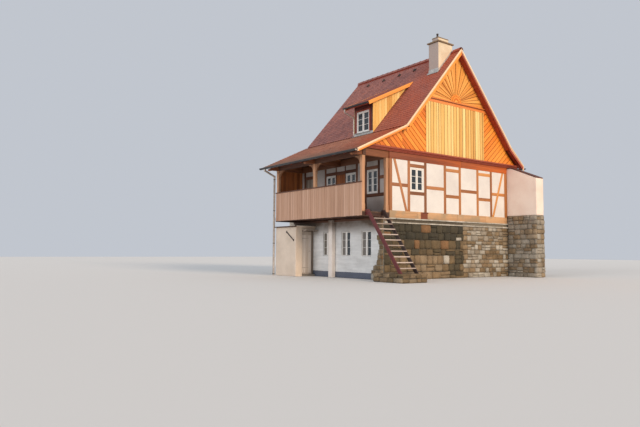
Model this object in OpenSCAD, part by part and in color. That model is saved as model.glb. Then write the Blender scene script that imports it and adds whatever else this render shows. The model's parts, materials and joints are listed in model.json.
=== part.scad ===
// Half timbered house on a rubble storey, with a boarded gallery, an outside stair,
// a tiled roof that runs out over the gallery, and a shed dormer.
// X runs along the ridge towards the gable, Y from the gallery side to the rear, Z up.
// Sizes are in millimetres. The origin is the middle of the house on the ground.

/* [House] */
// Length from the gable face to the outer face of the party wall
house_l = 6600; // [6200:50:7400]
// Width from the front wall face to the rear wall face
house_w = 7880; // [7500:20:8600]
// Height of the masonry storey
stone_h = 2450; // [2350:10:2800]
// Height of the timber storey, sill and plate included
frame_h = 2630; // [2500:10:2900]
// Thickness of the ground floor slab
slab_t = 80; // [60:5:150]

/* [Masonry] */
// Thickness of the rubble walls
stone_t = 500; // [400:10:600]
// Thickness of the party wall
party_t = 450; // [350:10:550]
// Width of a ground storey window
low_win_w = 560; // [500:10:640]
// Height of a ground storey window
low_win_h = 1000; // [900:10:1100]
// Height of its sill over the ground
low_win_sill = 930; // [850:10:1000]
// Distance from the gable face to the middle of the first ground storey window
low_win_x = 1050; // [1000:10:1150]
// Depth of the ground storey windows behind the wall face
low_win_in = 40; // [30:5:60]
// Distance from one ground storey window to the next
low_win_pitch = 1300; // [1260:10:1330]
// Width of the pilaster on the front wall
pier_w = 270; // [200:10:300]
// How far the pilaster stands out
pier_out = 200; // [120:10:240]
// How far the stone ledges stand out of the gable wall
ledge_out = 70; // [40:5:100]
// Thickness of a stone ledge
ledge_t = 55; // [40:5:70]

/* [Porch] */
// Length of the porch along the front wall
porch_l = 1630; // [1550:10:1700]
// Depth of the porch in front of the wall
porch_d = 1050; // [1000:10:1060]
// Distance from the top of the porch to the underside of the gallery
porch_drop = 260; // [180:5:280]
// Thickness of the porch front wall
porch_t = 350; // [250:10:360]
// Thickness of the porch end wall and of the lintel
porch_end_t = 300; // [250:10:320]
// Thickness of the cover board
cover_t = 30; // [20:5:45]
// How far the cover board stands out
cover_out = 80; // [40:5:120]
// Width of the inner doorway in the front wall
inner_door_w = 850; // [750:10:900]

/* [Entrance door] */
// Height of the wall over the door frame
lintel_h = 140; // [110:5:200]
// Height of the lever over the floor
lever_up = 1028; // [950:1:1080]
// Width of the frame timbers
jamb_w = 50; // [40:2:60]
// Depth of the frame
frame_d = 100; // [90:5:120]
// Distance from the wall face to the frame
door_recess = 140; // [100:5:160]
// Thickness of the leaf
leaf_t = 40; // [35:1:50]
// Running gap round the leaf
leaf_gap = 5; // [5:1:8]
// Overlap of the stop on the leaf
stop_w = 10; // [8:1:15]
// Radius of the hinge pins
pin_r = 8; // [6:1:10]
// Running gap between pin and knuckle
pin_gap = 0.5; // [0.3:0.1:0.8]
// Wall of the hinge knuckle
knuckle_wall = 5.5; // [4:0.5:7]
// Height of a hinge knuckle
knuckle_h = 60; // [40:5:80]
// Length of the strap on the leaf
strap_l = 350; // [250:10:420]

/* [Timber frame] */
// Thickness of the timber walls
timber_t = 160; // [140:5:180]
// Distance of the upper front wall behind the masonry face
set_back = 300; // [250:10:320]
// Width of a wall post
post_w = 140; // [120:5:160]
// Width of the front corner post on the gable
corner_w = 150; // [130:5:180]
// Width of the rear corner post on the gable
rear_corner_w = 200; // [150:5:220]
// Height of the sill beam
sill_h = 290; // [250:5:300]
// Height of the wall plate
plate_h = 280; // [240:5:300]
// Height of a rail
rail_h = 140; // [110:5:150]
// Distance from the front wall face to the middle of the first gable post
first_post = 1380; // [1330:5:1420]
// Middle to middle width of a window bay of the gable
narrow_bay = 965; // [950:5:985]
// Distance from the rear wall face to the middle of the last gable post
last_post = 1195; // [1150:5:1260]
// Height of the middle rails over the masonry
mid_rail_z = 1260; // [1150:10:1350]
// Width of a brace
brace_w = 120; // [100:5:140]
// Depth of the infill panels behind the timber face
infill_in = 15; // [5:1:30]

/* [Windows] */
// Width of the gable window
gable_win_w = 760; // [700:10:790]
// Width of the windows on the gallery and at the rear
side_win_w = 680; // [640:10:700]
// Height of the upper windows
win_h = 990; // [920:10:1010]
// Sill height of the gable window over the masonry
gable_win_sill = 1110; // [1080:10:1130]
// Sill height of the side windows over the masonry
side_win_sill = 1020; // [1000:10:1060]
// Distance from the gable face to the middle of the first side window
side_win_x = 1030; // [1000:10:1060]
// Distance from one side window to the next
side_win_pitch = 1370; // [1350:10:1390]
// Width of a window frame timber
win_frame_w = 50; // [40:2:60]
// Depth of a window frame
win_frame_d = 60; // [50:5:80]
// Thickness of the panes
pane_t = 6; // [4:1:8]
// Width of the gallery doors
gallery_door_w = 580; // [540:10:600]
// Height of the gallery doors
gallery_door_h = 1800; // [1750:10:1820]
// Distance from the party wall to the middle of the far gallery door
far_door_in = 740; // [720:10:770]

/* [Gallery] */
// Depth of the gallery in front of the masonry face
gallery_d = 1080; // [1065:5:1150]
// Side of a gallery post
gpost = 150; // [130:5:170]
// Distance from the gable face to the near post
near_post_in = 40; // [30:5:80]
// Distance from the gable face to the middle of the middle post
mid_post_x = 3165; // [3000:10:3250]
// Distance from the party wall to the far post
far_post_in = 60; // [40:5:120]
// Depth of the inner post at the stair head
inner_post_d = 150; // [140:10:260]
// Height of the joists
joist_h = 150; // [120:5:160]
// Width of a joist
joist_w = 120; // [100:5:140]
// Number of joists
joists = 9; // [7:1:11]
// Thickness of the floor boards
board_t = 50; // [40:5:60]
// Height of the handrail over the floor
rail_up = 1140; // [1050:10:1200]
// Thickness of the parapet boards
parapet_t = 25; // [20:1:40]
// Width of the handrail
handrail_w = 60; // [50:5:90]
// Thickness of the handrail
handrail_t = 40; // [30:5:60]
// Reach of a curved brace
knee = 340; // [250:10:360]
// Thickness of a curved brace
knee_t = 100; // [70:5:120]

/* [Roof] */
// Pitch of the main roof in degrees
main_pitch = 48.6; // [46:0.2:51]
// Pitch of the roof over the gallery in degrees
gallery_pitch = 25.4; // [23:0.2:27]
// Pitch of the rear eave in degrees
rear_pitch = 39.5; // [36:0.5:42]
// Distance of the ridge from the middle of the house, towards the rear
ridge_off = 420; // [300:10:500]
// Distance of the change of pitch from the front wall face
kick_y = 990; // [900:10:1080]
// Reach of the front eave beyond the front wall face
front_out = 1580; // [1500:10:1650]
// Reach of the rear eave beyond the rear wall face
rear_out = 970; // [900:10:1050]
// Height of the front eave edge under the top of the wall plate
eave_drop = 110; // [90:5:130]
// Thickness of the main roof, rafters, battens and tiles
roof_t = 180; // [150:5:200]
// Thickness of the roof over the gallery
gallery_roof_t = 125; // [110:5:140]
// Reach of the roof beyond the gable
verge_out = 280; // [240:10:340]
// Thickness of the bargeboards
barge_t = 30; // [25:1:40]
// Length of each wing of the ridge cap
cap_w = 150; // [120:5:180]
// Thickness of the ridge cap
cap_t = 35; // [25:1:45]
// Radius of the eave gutters
gutter_r = 75; // [60:5:85]
// Wall of the gutters
gutter_wall = 8; // [6:1:10]
// Radius of the downpipe
pipe_r = 45; // [35:1:50]

/* [Gable boards] */
// Thickness of the gable boards
gable_board_t = 60; // [40:5:80]
// Thickness of the attic floor
attic_t = 120; // [100:5:150]
// Height of the cornice
cornice_h = 160; // [130:5:190]
// How far the cornice stands out
cornice_out = 140; // [100:5:170]
// Bottom of the upper moulding over the wall plate
moulding_z = 2370; // [2200:10:2500]
// Height of the upper moulding
moulding_h = 200; // [150:5:220]
// How far the upper moulding stands out
moulding_out = 60; // [40:5:80]

/* [Dormer] */
// Distance from the gable face to the near cheek
dormer_x = 1760; // [1660:20:1800]
// Width over the cheeks
dormer_w = 1200; // [1150:10:1300]
// Pitch of the dormer roof in degrees
dormer_pitch = 26; // [24:0.5:28]
// Height of the dormer eave edge over the change of pitch
dormer_eave_up = 1280; // [1250:10:1350]
// Reach of the dormer eave in front of the dormer wall
dormer_out = 410; // [350:10:430]
// Thickness of the dormer roof
dormer_roof_t = 150; // [120:5:160]
// Side overhang of the dormer roof
dormer_side = 200; // [150:5:220]
// Thickness of the dormer front
dormer_front_t = 80; // [70:5:100]
// Thickness of the cheeks
cheek_t = 60; // [50:5:80]
// Width of the dormer window
dormer_win_w = 840; // [760:10:900]
// Height of the dormer window
dormer_win_h = 950; // [900:10:980]
// Height of the dormer window over the roof at the back of the dormer front
dormer_win_up = 10; // [0:5:60]
// Offset of the window from the middle, towards the gable
dormer_win_shift = -35; // [-40:5:30]
// Length of the opening in the roof behind the dormer front
dormer_open = 1700; // [1500:20:1800]

/* [Chimney] */
// Distance from the gable face to the chimney
chimney_x = 240; // [200:10:300]
// Length of the chimney along the ridge
chimney_l = 560; // [500:10:600]
// Depth of the chimney in front of the ridge
chimney_d = 910; // [850:10:950]
// Height of the shaft over the ridge
chimney_up = 270; // [200:10:400]
// Thickness of the chimney slab
chimney_slab_t = 60; // [50:5:100]
// Overhang of the chimney slab
chimney_slab_out = 60; // [50:5:100]
// Height of the block on the slab
chimney_block_h = 165; // [100:5:180]
// Radius of the cowl
cowl_r = 55; // [40:5:90]
// Height of the cowl
cowl_h = 250; // [120:10:280]

/* [Stair] */
// Number of treads
treads = 10; // [9:1:11]
// Going of a step
going = 152; // [145:1:160]
// Depth of a tread
tread_d = 220; // [200:5:250]
// Thickness of a tread
tread_t = 40; // [30:2:50]
// Drop of the first tread under the gallery floor
first_drop = 270; // [250:5:280]
// Distance from the gable face to the middle of the first tread
first_tread_x = 370; // [340:5:400]
// Width of the stair over the stringers
stair_w = 850; // [800:10:870]
// Distance of the stair's outer side from the masonry face
stair_y = 960; // [920:10:1000]
// Thickness of a stringer
stringer_t = 30; // [20:1:40]
// Distance from the gable face to the stone base of the stair
stair_base_x = 450; // [420:10:500]
// Length of the stone base of the stair
stair_base_l = 1600; // [1600:10:1800]
// Height of the stone base of the stair
stair_base_h = 330; // [250:5:360]

/* [Wing wall] */
// Length of the wing wall beyond the gable
wing_l = 1540; // [1400:20:1700]
// Thickness of the wing wall
wing_t = 550; // [450:10:600]
// Height of its stone base over the masonry storey
wing_base_up = 350; // [250:10:450]
// Drop of its top at the outer end under the soffit
wing_drop = 560; // [450:10:650]
// Thickness of its coping
coping_t = 40; // [30:5:60]

/* [Hidden] */

// Levels and lines. X is 0 at the gable face and negative towards the party wall,
// Y is 0 at the front face of the masonry.
room_l = house_l - party_t;            // gable face to the inner face of the party wall
plate_z = stone_h + frame_h;           // top of the wall plates
floor_h = joist_h + board_t;           // upper floor
floor_z = stone_h + floor_h;           // top of the upper floor
porch_h = stone_h - porch_drop;
door_head_z = porch_h - lintel_h;      // top of the door frame
eave_z = plate_z - eave_drop;
tie_z = plate_z - plate_h;             // underside of plates and ties
ridge_y = house_w / 2 + ridge_off;
kick_z = eave_z + (kick_y + front_out) * tan(gallery_pitch);
ridge_z = round(kick_z + (ridge_y - kick_y) * tan(main_pitch));
break_z = ridge_z - (house_w - ridge_y) * tan(main_pitch);
rear_eave_z = break_z - rear_out * tan(rear_pitch);
seat = 0.2;                            // joint between the roof and what carries it
main_v = roof_t / cos(main_pitch);     // roof thickness measured straight down
gallery_v = gallery_roof_t / cos(gallery_pitch);
rear_v = roof_t / cos(rear_pitch);
rear_fall = (break_z - main_v - rear_eave_z + rear_v) / rear_out;
frame_y = set_back;                    // outer face of the upper front wall
gpost_y = -gallery_d;                  // outer face of the gallery posts
gpost_in = gpost_y + gpost;            // inner face of the gallery posts
gpost_x = [-near_post_in - gpost, -mid_post_x - gpost / 2, -room_l + far_post_in];
anchor = [[-room_l + 890, porch_h - 210], [-room_l + 1480, porch_h - 610]];

function front_top(y) = y < kick_y ? eave_z + (y + front_out) * tan(gallery_pitch)
                                   : kick_z + (y - kick_y) * tan(main_pitch);
function front_under(y) = front_top(y) - (y < kick_y ? gallery_v : main_v);
function gallery_at(z) = -front_out + (z + gallery_v - eave_z) / tan(gallery_pitch);
function front_at(z) = kick_y + (z + main_v - kick_z) / tan(main_pitch);
function rear_at(z) = ridge_y + (ridge_z - main_v - z) / tan(main_pitch);
function rear_eave_at(z) = house_w + (break_z - main_v - z) / rear_fall;
function dormer_top(y) = kick_z + dormer_eave_up + (y - kick_y + dormer_out) * tan(dormer_pitch);
dormer_gain = tan(main_pitch) - tan(dormer_pitch);
dormer_top_y = kick_y + (dormer_eave_up + dormer_out * tan(dormer_pitch)) / dormer_gain;
dormer_low_y = dormer_top_y - dormer_roof_t / dormer_gain;

// A box between two limits on each axis
module span(x, y, z) translate([x[0], y[0], z[0]]) cube([x[1] - x[0], y[1] - y[0], z[1] - z[0]]);
// An outline in Y and Z, drawn out along X
module along_x(x) translate([x[0], 0, 0]) rotate([90, 0, 90]) linear_extrude(x[1] - x[0]) children();
// An outline in X and Z, drawn out along Y
module along_y(y) translate([0, y[1], 0]) rotate([90, 0, 0]) linear_extrude(y[1] - y[0]) children();
// Places a piece that is drawn from the near front corner
module house() translate([house_l / 2, -house_w / 2, 0]) children();
// A rectangle in an outline
module bar(a, b) translate([a[0], b[0]]) square([a[1] - a[0], b[1] - b[0]]);
// A straight timber in an outline, from the middle of its foot to the middle of its head
module strut(p, q, w) polygon([p - [w / 2, 0], p + [w / 2, 0], q + [w / 2, 0], q - [w / 2, 0]]);

// ---- Masonry storey ----

low_windows = [for (i = [0:2]) -low_win_x - i * low_win_pitch];
pier_x = -low_win_x - 1.5 * low_win_pitch - low_win_pitch / 8;
inner_door_x = -room_l + porch_end_t + 20 + inner_door_w / 2;

module ground_floor() color("tan") house() {
  span([-room_l, -stone_t], [stone_t, house_w - stone_t], [0, slab_t]);
  span([-room_l + porch_end_t, -room_l + porch_l], [-porch_d + porch_t, 0], [0, slab_t]);
}

module front_wall_lower() color("gainsboro") house() difference() {
  span([-room_l, 0], [0, stone_t], [0, stone_h]);
  for (x = low_windows)
    span([x - low_win_w / 2, x + low_win_w / 2], [-1, stone_t + 1], [low_win_sill, low_win_sill + low_win_h]);
  span([inner_door_x - inner_door_w / 2, inner_door_x + inner_door_w / 2], [-1, stone_t + 1],
    [slab_t, door_head_z]);
}

module front_pier() color("whitesmoke") house()
  span([pier_x - pier_w / 2, pier_x + pier_w / 2], [-pier_out, 0], [0, stone_h]);

module gable_wall_lower() color("darkkhaki") house()
  span([-stone_t, 0], [stone_t, house_w], [0, stone_h]);

module rear_wall_lower() color("gray") house()
  span([-room_l, -stone_t], [house_w - stone_t, house_w], [0, stone_h]);

module party_wall() color("lightgray") house() along_x([-house_l, -room_l])
  polygon([[0, 0], [house_w, 0], [house_w, break_z - main_v], [ridge_y, ridge_z - main_v],
    [kick_y, kick_z - main_v], [kick_y, kick_z - gallery_v], [0, front_under(0)]]);

module stone_ledges() color("dimgray") house() {
  span([0, ledge_out], [0, house_w], [stone_h - ledge_t, stone_h]);
  span([0, ledge_out], [0, house_w], [stone_h - 4 * ledge_t, stone_h - 3 * ledge_t]);
}

// ---- Porch ----

door_x = -room_l + porch_l - door_recess;      // outer face of the door frame
door_y = [-porch_d + porch_t, 0];
leaf_x = door_x - frame_d;                     // inner face of leaf and frame
leaf_y = [door_y[0] + jamb_w + leaf_gap, door_y[1] - jamb_w - leaf_gap];
knuckle_r = pin_r + pin_gap + knuckle_wall;
strap_t = 8;
pin_x = leaf_x - knuckle_r - 2;
pin_y = door_y[0] + jamb_w;
knuckles = [slab_t + 270, door_head_z - 400];
lever_z = slab_t + lever_up;

module porch_walls() color("bisque") house() {
  span([-room_l, -room_l + porch_l], [-porch_d, -porch_d + porch_t], [0, porch_h]);
  span([-room_l, -room_l + porch_end_t], [-porch_d + porch_t, 0], [0, porch_h]);
}

module porch_lintel() color("bisque") house()
  span([-room_l + porch_l - porch_end_t, -room_l + porch_l], door_y, [door_head_z, porch_h]);

module porch_cover() color("sienna") house()
  span([-room_l, -room_l + porch_l + cover_out], [-porch_d - cover_out, 0], [porch_h, porch_h + cover_t]);

module entrance_door_frame() color("rosybrown") house() {
  difference() {
    span([leaf_x, door_x], door_y, [slab_t, door_head_z]);
    span([leaf_x - 1, leaf_x + leaf_t + leaf_gap], [door_y[0] + jamb_w, door_y[1] - jamb_w],
      [slab_t - 1, door_head_z - jamb_w]);
    span([leaf_x - 1, door_x + 1], [door_y[0] + jamb_w + leaf_gap + stop_w, door_y[1] - jamb_w - leaf_gap - stop_w],
      [slab_t - 1, door_head_z - jamb_w - leaf_gap - stop_w]);
  }
  // Pintles: a plate on the frame, a seat under the knuckle and the pin
  for (z = knuckles) {
    span([leaf_x - strap_t, leaf_x], [door_y[0], pin_y - knuckle_r - 1], [z - 40, z + knuckle_h]);
    span([pin_x, leaf_x], [door_y[0], pin_y - leaf_gap], [z - 30, z]);
    translate([pin_x, pin_y, z - 30]) cylinder(r = knuckle_r, h = 30, $fn = 48);
    translate([pin_x, pin_y, z - 30]) cylinder(r = pin_r, h = knuckle_h + 30, $fn = 48);
  }
}

module entrance_door() color("tan") house() {
  span([leaf_x, leaf_x + leaf_t], leaf_y, [slab_t + leaf_gap + 3, door_head_z - jamb_w - leaf_gap]);
  for (z = knuckles) difference() {
    union() {
      translate([pin_x, pin_y, z + pin_gap]) cylinder(r = knuckle_r, h = knuckle_h - pin_gap, $fn = 48);
      span([leaf_x - strap_t, leaf_x], [pin_y, pin_y + strap_l], [z + pin_gap + 10, z + knuckle_h - 10]);
    }
    translate([pin_x, pin_y, z - 1]) cylinder(r = pin_r + pin_gap, h = knuckle_h + 2, $fn = 48);
  }
  // Lock plate and lever on both sides
  for (s = [leaf_x - 6, leaf_x + leaf_t]) span([s, s + 6], [leaf_y[1] - 90, leaf_y[1] - 50],
    [lever_z - 108, lever_z + 92]);
  for (s = [leaf_x - 46, leaf_x + leaf_t + 6]) {
    span([s, s + 40], [leaf_y[1] - 78, leaf_y[1] - 62], [lever_z - 8, lever_z + 8]);
    span([s == leaf_x - 46 ? s : s + 28, s == leaf_x - 46 ? s + 12 : s + 40], [leaf_y[1] - 190, leaf_y[1] - 62],
      [lever_z - 8, lever_z + 8]);
  }
}

module wall_anchor() color("dimgray") house() along_y([-porch_d - 20, -porch_d])
  strut(anchor[1], anchor[0], 45);

// ---- Timber storey ----

wide_bay = (house_w - first_post - last_post - 3 * narrow_bay) / 2;
gable_posts = [for (i = [0:2], j = [0, 1]) first_post + i * (narrow_bay + wide_bay) + j * narrow_bay];
side_windows = [for (i = [0:2]) -side_win_x - i * side_win_pitch];
rear_windows = [for (i = [0:3]) -side_win_x - i * side_win_pitch];
near_door_x = -side_win_x - 1.5 * side_win_pitch;
far_door_x = room_l - far_door_in;
gallery_door_x = [near_door_x, -far_door_x];
front_jamb = (side_win_pitch - side_win_w - gallery_door_w) / 2;

module upper_floor() color("burlywood") house()
  span([-room_l, -timber_t], [frame_y + timber_t, house_w - timber_t], [stone_h, floor_z]);

// Gable wall in Y and Z: sill, posts, rails, braces and plate
module gable_lattice() {
  bar([frame_y, house_w], [stone_h, stone_h + sill_h]);
  bar([frame_y, house_w], [tie_z, plate_z]);
  bar([frame_y, frame_y + corner_w], [stone_h, plate_z]);
  bar([house_w - rear_corner_w, house_w], [stone_h, plate_z]);
  for (y = gable_posts) bar([y - post_w / 2, y + post_w / 2], [stone_h, plate_z]);
  for (i = [0:2]) {
    a = gable_posts[2 * i];
    bar([a, a + narrow_bay], [stone_h + gable_win_sill - rail_h, stone_h + gable_win_sill]);
    bar([a, a + narrow_bay], [stone_h + gable_win_sill + win_h, stone_h + gable_win_sill + win_h + rail_h]);
  }
  for (i = [0:3]) {
    a = i == 0 ? frame_y : gable_posts[2 * i - 1];
    b = i == 3 ? house_w : gable_posts[2 * i];
    bar([a, b], [stone_h + mid_rail_z, stone_h + mid_rail_z + rail_h]);
  }
  strut([gable_posts[0] - post_w / 2 - brace_w / 2, stone_h + sill_h],
    [frame_y + corner_w + brace_w, tie_z], brace_w);
  strut([gable_posts[5] + post_w / 2 + brace_w / 2, stone_h + sill_h],
    [house_w - rear_corner_w - brace_w, tie_z], brace_w);
}
gable_win_y = (gable_posts[0] + gable_posts[1]) / 2;

module gable_frame() color("peru") house() along_x([-timber_t, 0]) gable_lattice();

module gable_infill() color("antiquewhite") house() along_x([-timber_t + infill_in, -infill_in]) difference() {
  bar([frame_y + corner_w, house_w - rear_corner_w], [stone_h + sill_h, tie_z]);
  gable_lattice();
  bar([gable_win_y - gable_win_w / 2, gable_win_y + gable_win_w / 2],
    [stone_h + gable_win_sill, stone_h + gable_win_sill + win_h]);
}

// A window's rails and the posts on both sides of it, in X and Z
module window_bay(x, left, right, right_foot = floor_z) {
  bar([x - side_win_w / 2 - left, x - side_win_w / 2], [floor_z, plate_z]);
  bar([x + side_win_w / 2, x + side_win_w / 2 + right], [right_foot, plate_z]);
  bar([x - side_win_w / 2, x + side_win_w / 2], [stone_h + side_win_sill - rail_h, stone_h + side_win_sill]);
  bar([x - side_win_w / 2, x + side_win_w / 2],
    [stone_h + side_win_sill + win_h, stone_h + side_win_sill + win_h + rail_h]);
}

module front_lattice() {
  bar([-room_l, -timber_t], [stone_h, floor_z]);
  bar([-room_l, -timber_t], [tie_z, plate_z]);
  window_bay(side_windows[0], post_w - 20, post_w - 20, stone_h + side_win_sill - rail_h);
  bar([side_windows[0] + side_win_w / 2, -timber_t], [stone_h + side_win_sill - rail_h, stone_h + side_win_sill]);
  window_bay(side_windows[1], front_jamb, post_w - 20);
  window_bay(side_windows[2], post_w - 20, front_jamb);
  bar([near_door_x - gallery_door_w / 2, near_door_x + gallery_door_w / 2],
    [floor_z + gallery_door_h, floor_z + gallery_door_h + rail_h]);
  for (s = [-1, 1]) {
    c = -far_door_x + s * (gallery_door_w / 2 + (post_w - 20) / 2);
    bar([c - post_w / 2 + 10, c + post_w / 2 - 10], [floor_z, plate_z]);
  }
  bar([-far_door_x - gallery_door_w / 2, -far_door_x + gallery_door_w / 2],
    [floor_z + gallery_door_h, floor_z + gallery_door_h + rail_h]);
  bar([side_windows[0] + side_win_w / 2, -timber_t], [stone_h + mid_rail_z + 320, stone_h + mid_rail_z + 320 + rail_h]);
}

module front_openings() {
  for (x = side_windows) bar([x - side_win_w / 2, x + side_win_w / 2],
    [stone_h + side_win_sill, stone_h + side_win_sill + win_h]);
  for (x = gallery_door_x) bar([x - gallery_door_w / 2, x + gallery_door_w / 2], [floor_z, floor_z + gallery_door_h]);
}

module front_frame() color("saddlebrown") house() along_y([frame_y, frame_y + timber_t]) front_lattice();

module front_infill() color("gainsboro") house() along_y([frame_y + infill_in, frame_y + timber_t - infill_in])
  difference() {
    bar([-room_l, -timber_t], [floor_z, tie_z]);
    front_lattice();
    front_openings();
  }

module rear_lattice() {
  bar([-room_l, -timber_t], [stone_h, stone_h + sill_h]);
  bar([-room_l, -timber_t], [tie_z, plate_z]);
  for (x = rear_windows) window_bay(x, post_w - 20, post_w - 20);
  bar([-room_l, -timber_t], [stone_h + side_win_sill - rail_h, stone_h + side_win_sill]);
}

module rear_frame() color("saddlebrown") house() along_y([house_w - timber_t, house_w]) difference() {
  rear_lattice();
}

module rear_infill() color("antiquewhite") house() along_y([house_w - timber_t + infill_in, house_w - infill_in])
  difference() {
    bar([-room_l, -timber_t], [stone_h + sill_h, tie_z]);
    rear_lattice();
    for (x = rear_windows) bar([x - side_win_w / 2, x + side_win_w / 2],
      [stone_h + side_win_sill, stone_h + side_win_sill + win_h]);
  }

// ---- Windows and doors ----

// A frame with its middle post, in an outline round the origin's right side
module casement_ring(w, h) difference() {
  square([w, h]);
  translate([win_frame_w, win_frame_w]) square([w - 2 * win_frame_w, h - 2 * win_frame_w]);
}
// A window that looks along -Y, its lower left corner of the outer face at the origin
module casement(w, h) {
  along_y([0, win_frame_d]) casement_ring(w, h);
  span([w / 2 - win_frame_w / 2, w / 2 + win_frame_w / 2], [0, win_frame_d / 2],
    [win_frame_w, h - win_frame_w]);
}
module pane(w, h) span([win_frame_w, w - win_frame_w], [win_frame_d / 2, win_frame_d / 2 + pane_t],
  [win_frame_w, h - win_frame_w]);

// The places of the upper windows: front, rear, gable and dormer
module at_upper_windows() {
  for (x = side_windows) translate([x - side_win_w / 2, frame_y + 20, stone_h + side_win_sill])
    children(0);
  for (x = rear_windows) translate([x + side_win_w / 2, house_w - 20, stone_h + side_win_sill])
    rotate([0, 0, 180]) children(0);
  translate([-20, gable_win_y - gable_win_w / 2, stone_h + gable_win_sill]) rotate([0, 0, 90]) children(1);
  translate([dormer_win_x - dormer_win_w / 2, kick_y + 10, dormer_win_z]) children(2);
}

module upper_windows() color("white") house() at_upper_windows() {
  casement(side_win_w, win_h);
  casement(gable_win_w, win_h);
  casement(dormer_win_w, dormer_win_h);
}
module upper_glass() color("lightblue") house() at_upper_windows() {
  pane(side_win_w, win_h);
  pane(gable_win_w, win_h);
  pane(dormer_win_w, dormer_win_h);
}
module at_lower_windows() for (x = low_windows) translate([x - low_win_w / 2, low_win_in, low_win_sill]) children();
module lower_windows() color("white") house() at_lower_windows() casement(low_win_w, low_win_h);
module lower_glass() color("lightblue") house() at_lower_windows() pane(low_win_w, low_win_h);

module gallery_doors() color("chocolate") house() for (x = gallery_door_x)
  span([x - gallery_door_w / 2, x + gallery_door_w / 2], [frame_y + 30, frame_y + 75],
    [floor_z, floor_z + gallery_door_h]);

// ---- Gable triangle ----

module attic_floor() color("burlywood") house() along_x([-room_l, -gable_board_t])
  polygon([[gpost_in, plate_z], [rear_eave_at(plate_z), plate_z],
    [rear_eave_at(plate_z + attic_t), plate_z + attic_t],
    [gallery_at(plate_z + attic_t), plate_z + attic_t], [gpost_in, front_under(gpost_in)]]);

module gable_boards() color("orange") house() along_x([-gable_board_t, 0]) polygon([
  [gpost_in, plate_z], [gpost_in, front_under(gpost_in)], [kick_y, kick_z - gallery_v],
  [kick_y, kick_z - main_v], [front_at(plate_z + moulding_z), plate_z + moulding_z],
  [rear_at(plate_z + moulding_z), plate_z + moulding_z], [house_w, break_z - main_v],
  [rear_eave_at(plate_z), plate_z]]);

sun_z = plate_z + moulding_z + moulding_h;
module gable_sunburst() color("gold") house() along_x([-gable_board_t, 0])
  polygon([[front_at(sun_z), sun_z], [ridge_y, ridge_z - main_v], [rear_at(sun_z), sun_z]]);

module gable_cornices() color("firebrick") house() {
  along_x([0, cornice_out]) polygon([[gallery_at(plate_z), plate_z],
    [gallery_at(plate_z + cornice_h), plate_z + cornice_h],
    [rear_eave_at(plate_z + cornice_h), plate_z + cornice_h], [rear_eave_at(plate_z), plate_z]]);
  along_x([-gable_board_t, moulding_out]) polygon([[front_at(sun_z - moulding_h), sun_z - moulding_h],
    [front_at(sun_z), sun_z], [rear_at(sun_z), sun_z], [rear_at(sun_z - moulding_h), sun_z - moulding_h]]);
}

module eave_end_boards() color("sienna") house() along_x([-room_l, -room_l + 40]) {
  polygon([[gallery_at(plate_z + attic_t), plate_z + attic_t], [0, plate_z + attic_t], [0, front_under(0)]]);
  polygon([[house_w, plate_z + attic_t], [rear_eave_at(plate_z + attic_t), plate_z + attic_t],
    [house_w, break_z - main_v]]);
}

// ---- Roof ----

roof_x = [-house_l, verge_out - barge_t];
dormer_span = [-dormer_x - dormer_w, -dormer_x];
dormer_win_x = -dormer_x - dormer_w / 2 + dormer_win_shift;
dormer_win_z = front_top(kick_y + dormer_front_t) + dormer_win_up;
chimney_span = [-chimney_x - chimney_l, -chimney_x];
chimney_y = [ridge_y - chimney_d, ridge_y];

module roof_front() color("indianred") house() difference() {
  along_x(roof_x) polygon([[kick_y, kick_z - main_v + seat], [ridge_y, ridge_z - main_v + seat],
    [ridge_y, ridge_z], [kick_y, kick_z]]);
  span(chimney_span, chimney_y + [0, 1], [kick_z, ridge_z + 10]);
  span(dormer_span + [cheek_t, -cheek_t], [kick_y + dormer_front_t, kick_y + dormer_front_t + dormer_open],
    [kick_z - 10, ridge_z]);
}

module roof_gallery() color("rosybrown") house() along_x(roof_x)
  polygon([[-front_out, eave_z - gallery_v + seat], [kick_y, kick_z - gallery_v + seat], [kick_y, kick_z],
    [-front_out, eave_z]]);

module roof_rear() color("indianred") house() along_x(roof_x) polygon([[ridge_y, ridge_z - main_v + seat],
  [ridge_y, ridge_z], [house_w, break_z], [house_w + rear_out, rear_eave_z],
  [house_w + rear_out, rear_eave_z - rear_v + seat], [house_w, break_z - main_v + seat]]);

module bargeboards() color("navajowhite") house() along_x([verge_out - barge_t, verge_out]) polygon([
  [-front_out, eave_z - gallery_v], [-front_out, eave_z], [kick_y, kick_z], [ridge_y, ridge_z],
  [house_w, break_z], [house_w + rear_out, rear_eave_z], [house_w + rear_out, rear_eave_z - rear_v],
  [house_w, break_z - main_v], [ridge_y, ridge_z - main_v], [kick_y, kick_z - main_v],
  [kick_y, kick_z - gallery_v]]);

module ridge_cap() color("brown") house() difference() {
  along_x([-house_l, verge_out]) polygon([
    [ridge_y - cap_w * cos(main_pitch), ridge_z - cap_w * sin(main_pitch)], [ridge_y, ridge_z],
    [ridge_y + cap_w * cos(main_pitch), ridge_z - cap_w * sin(main_pitch)],
    [ridge_y + cap_w * cos(main_pitch), ridge_z - cap_w * sin(main_pitch) + cap_t / cos(main_pitch)],
    [ridge_y, ridge_z + cap_t / cos(main_pitch)],
    [ridge_y - cap_w * cos(main_pitch), ridge_z - cap_w * sin(main_pitch) + cap_t / cos(main_pitch)]]);
  span(chimney_span, chimney_y, [kick_z, ridge_z + 2 * cap_t]);
}

// ---- Dormer ----

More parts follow.
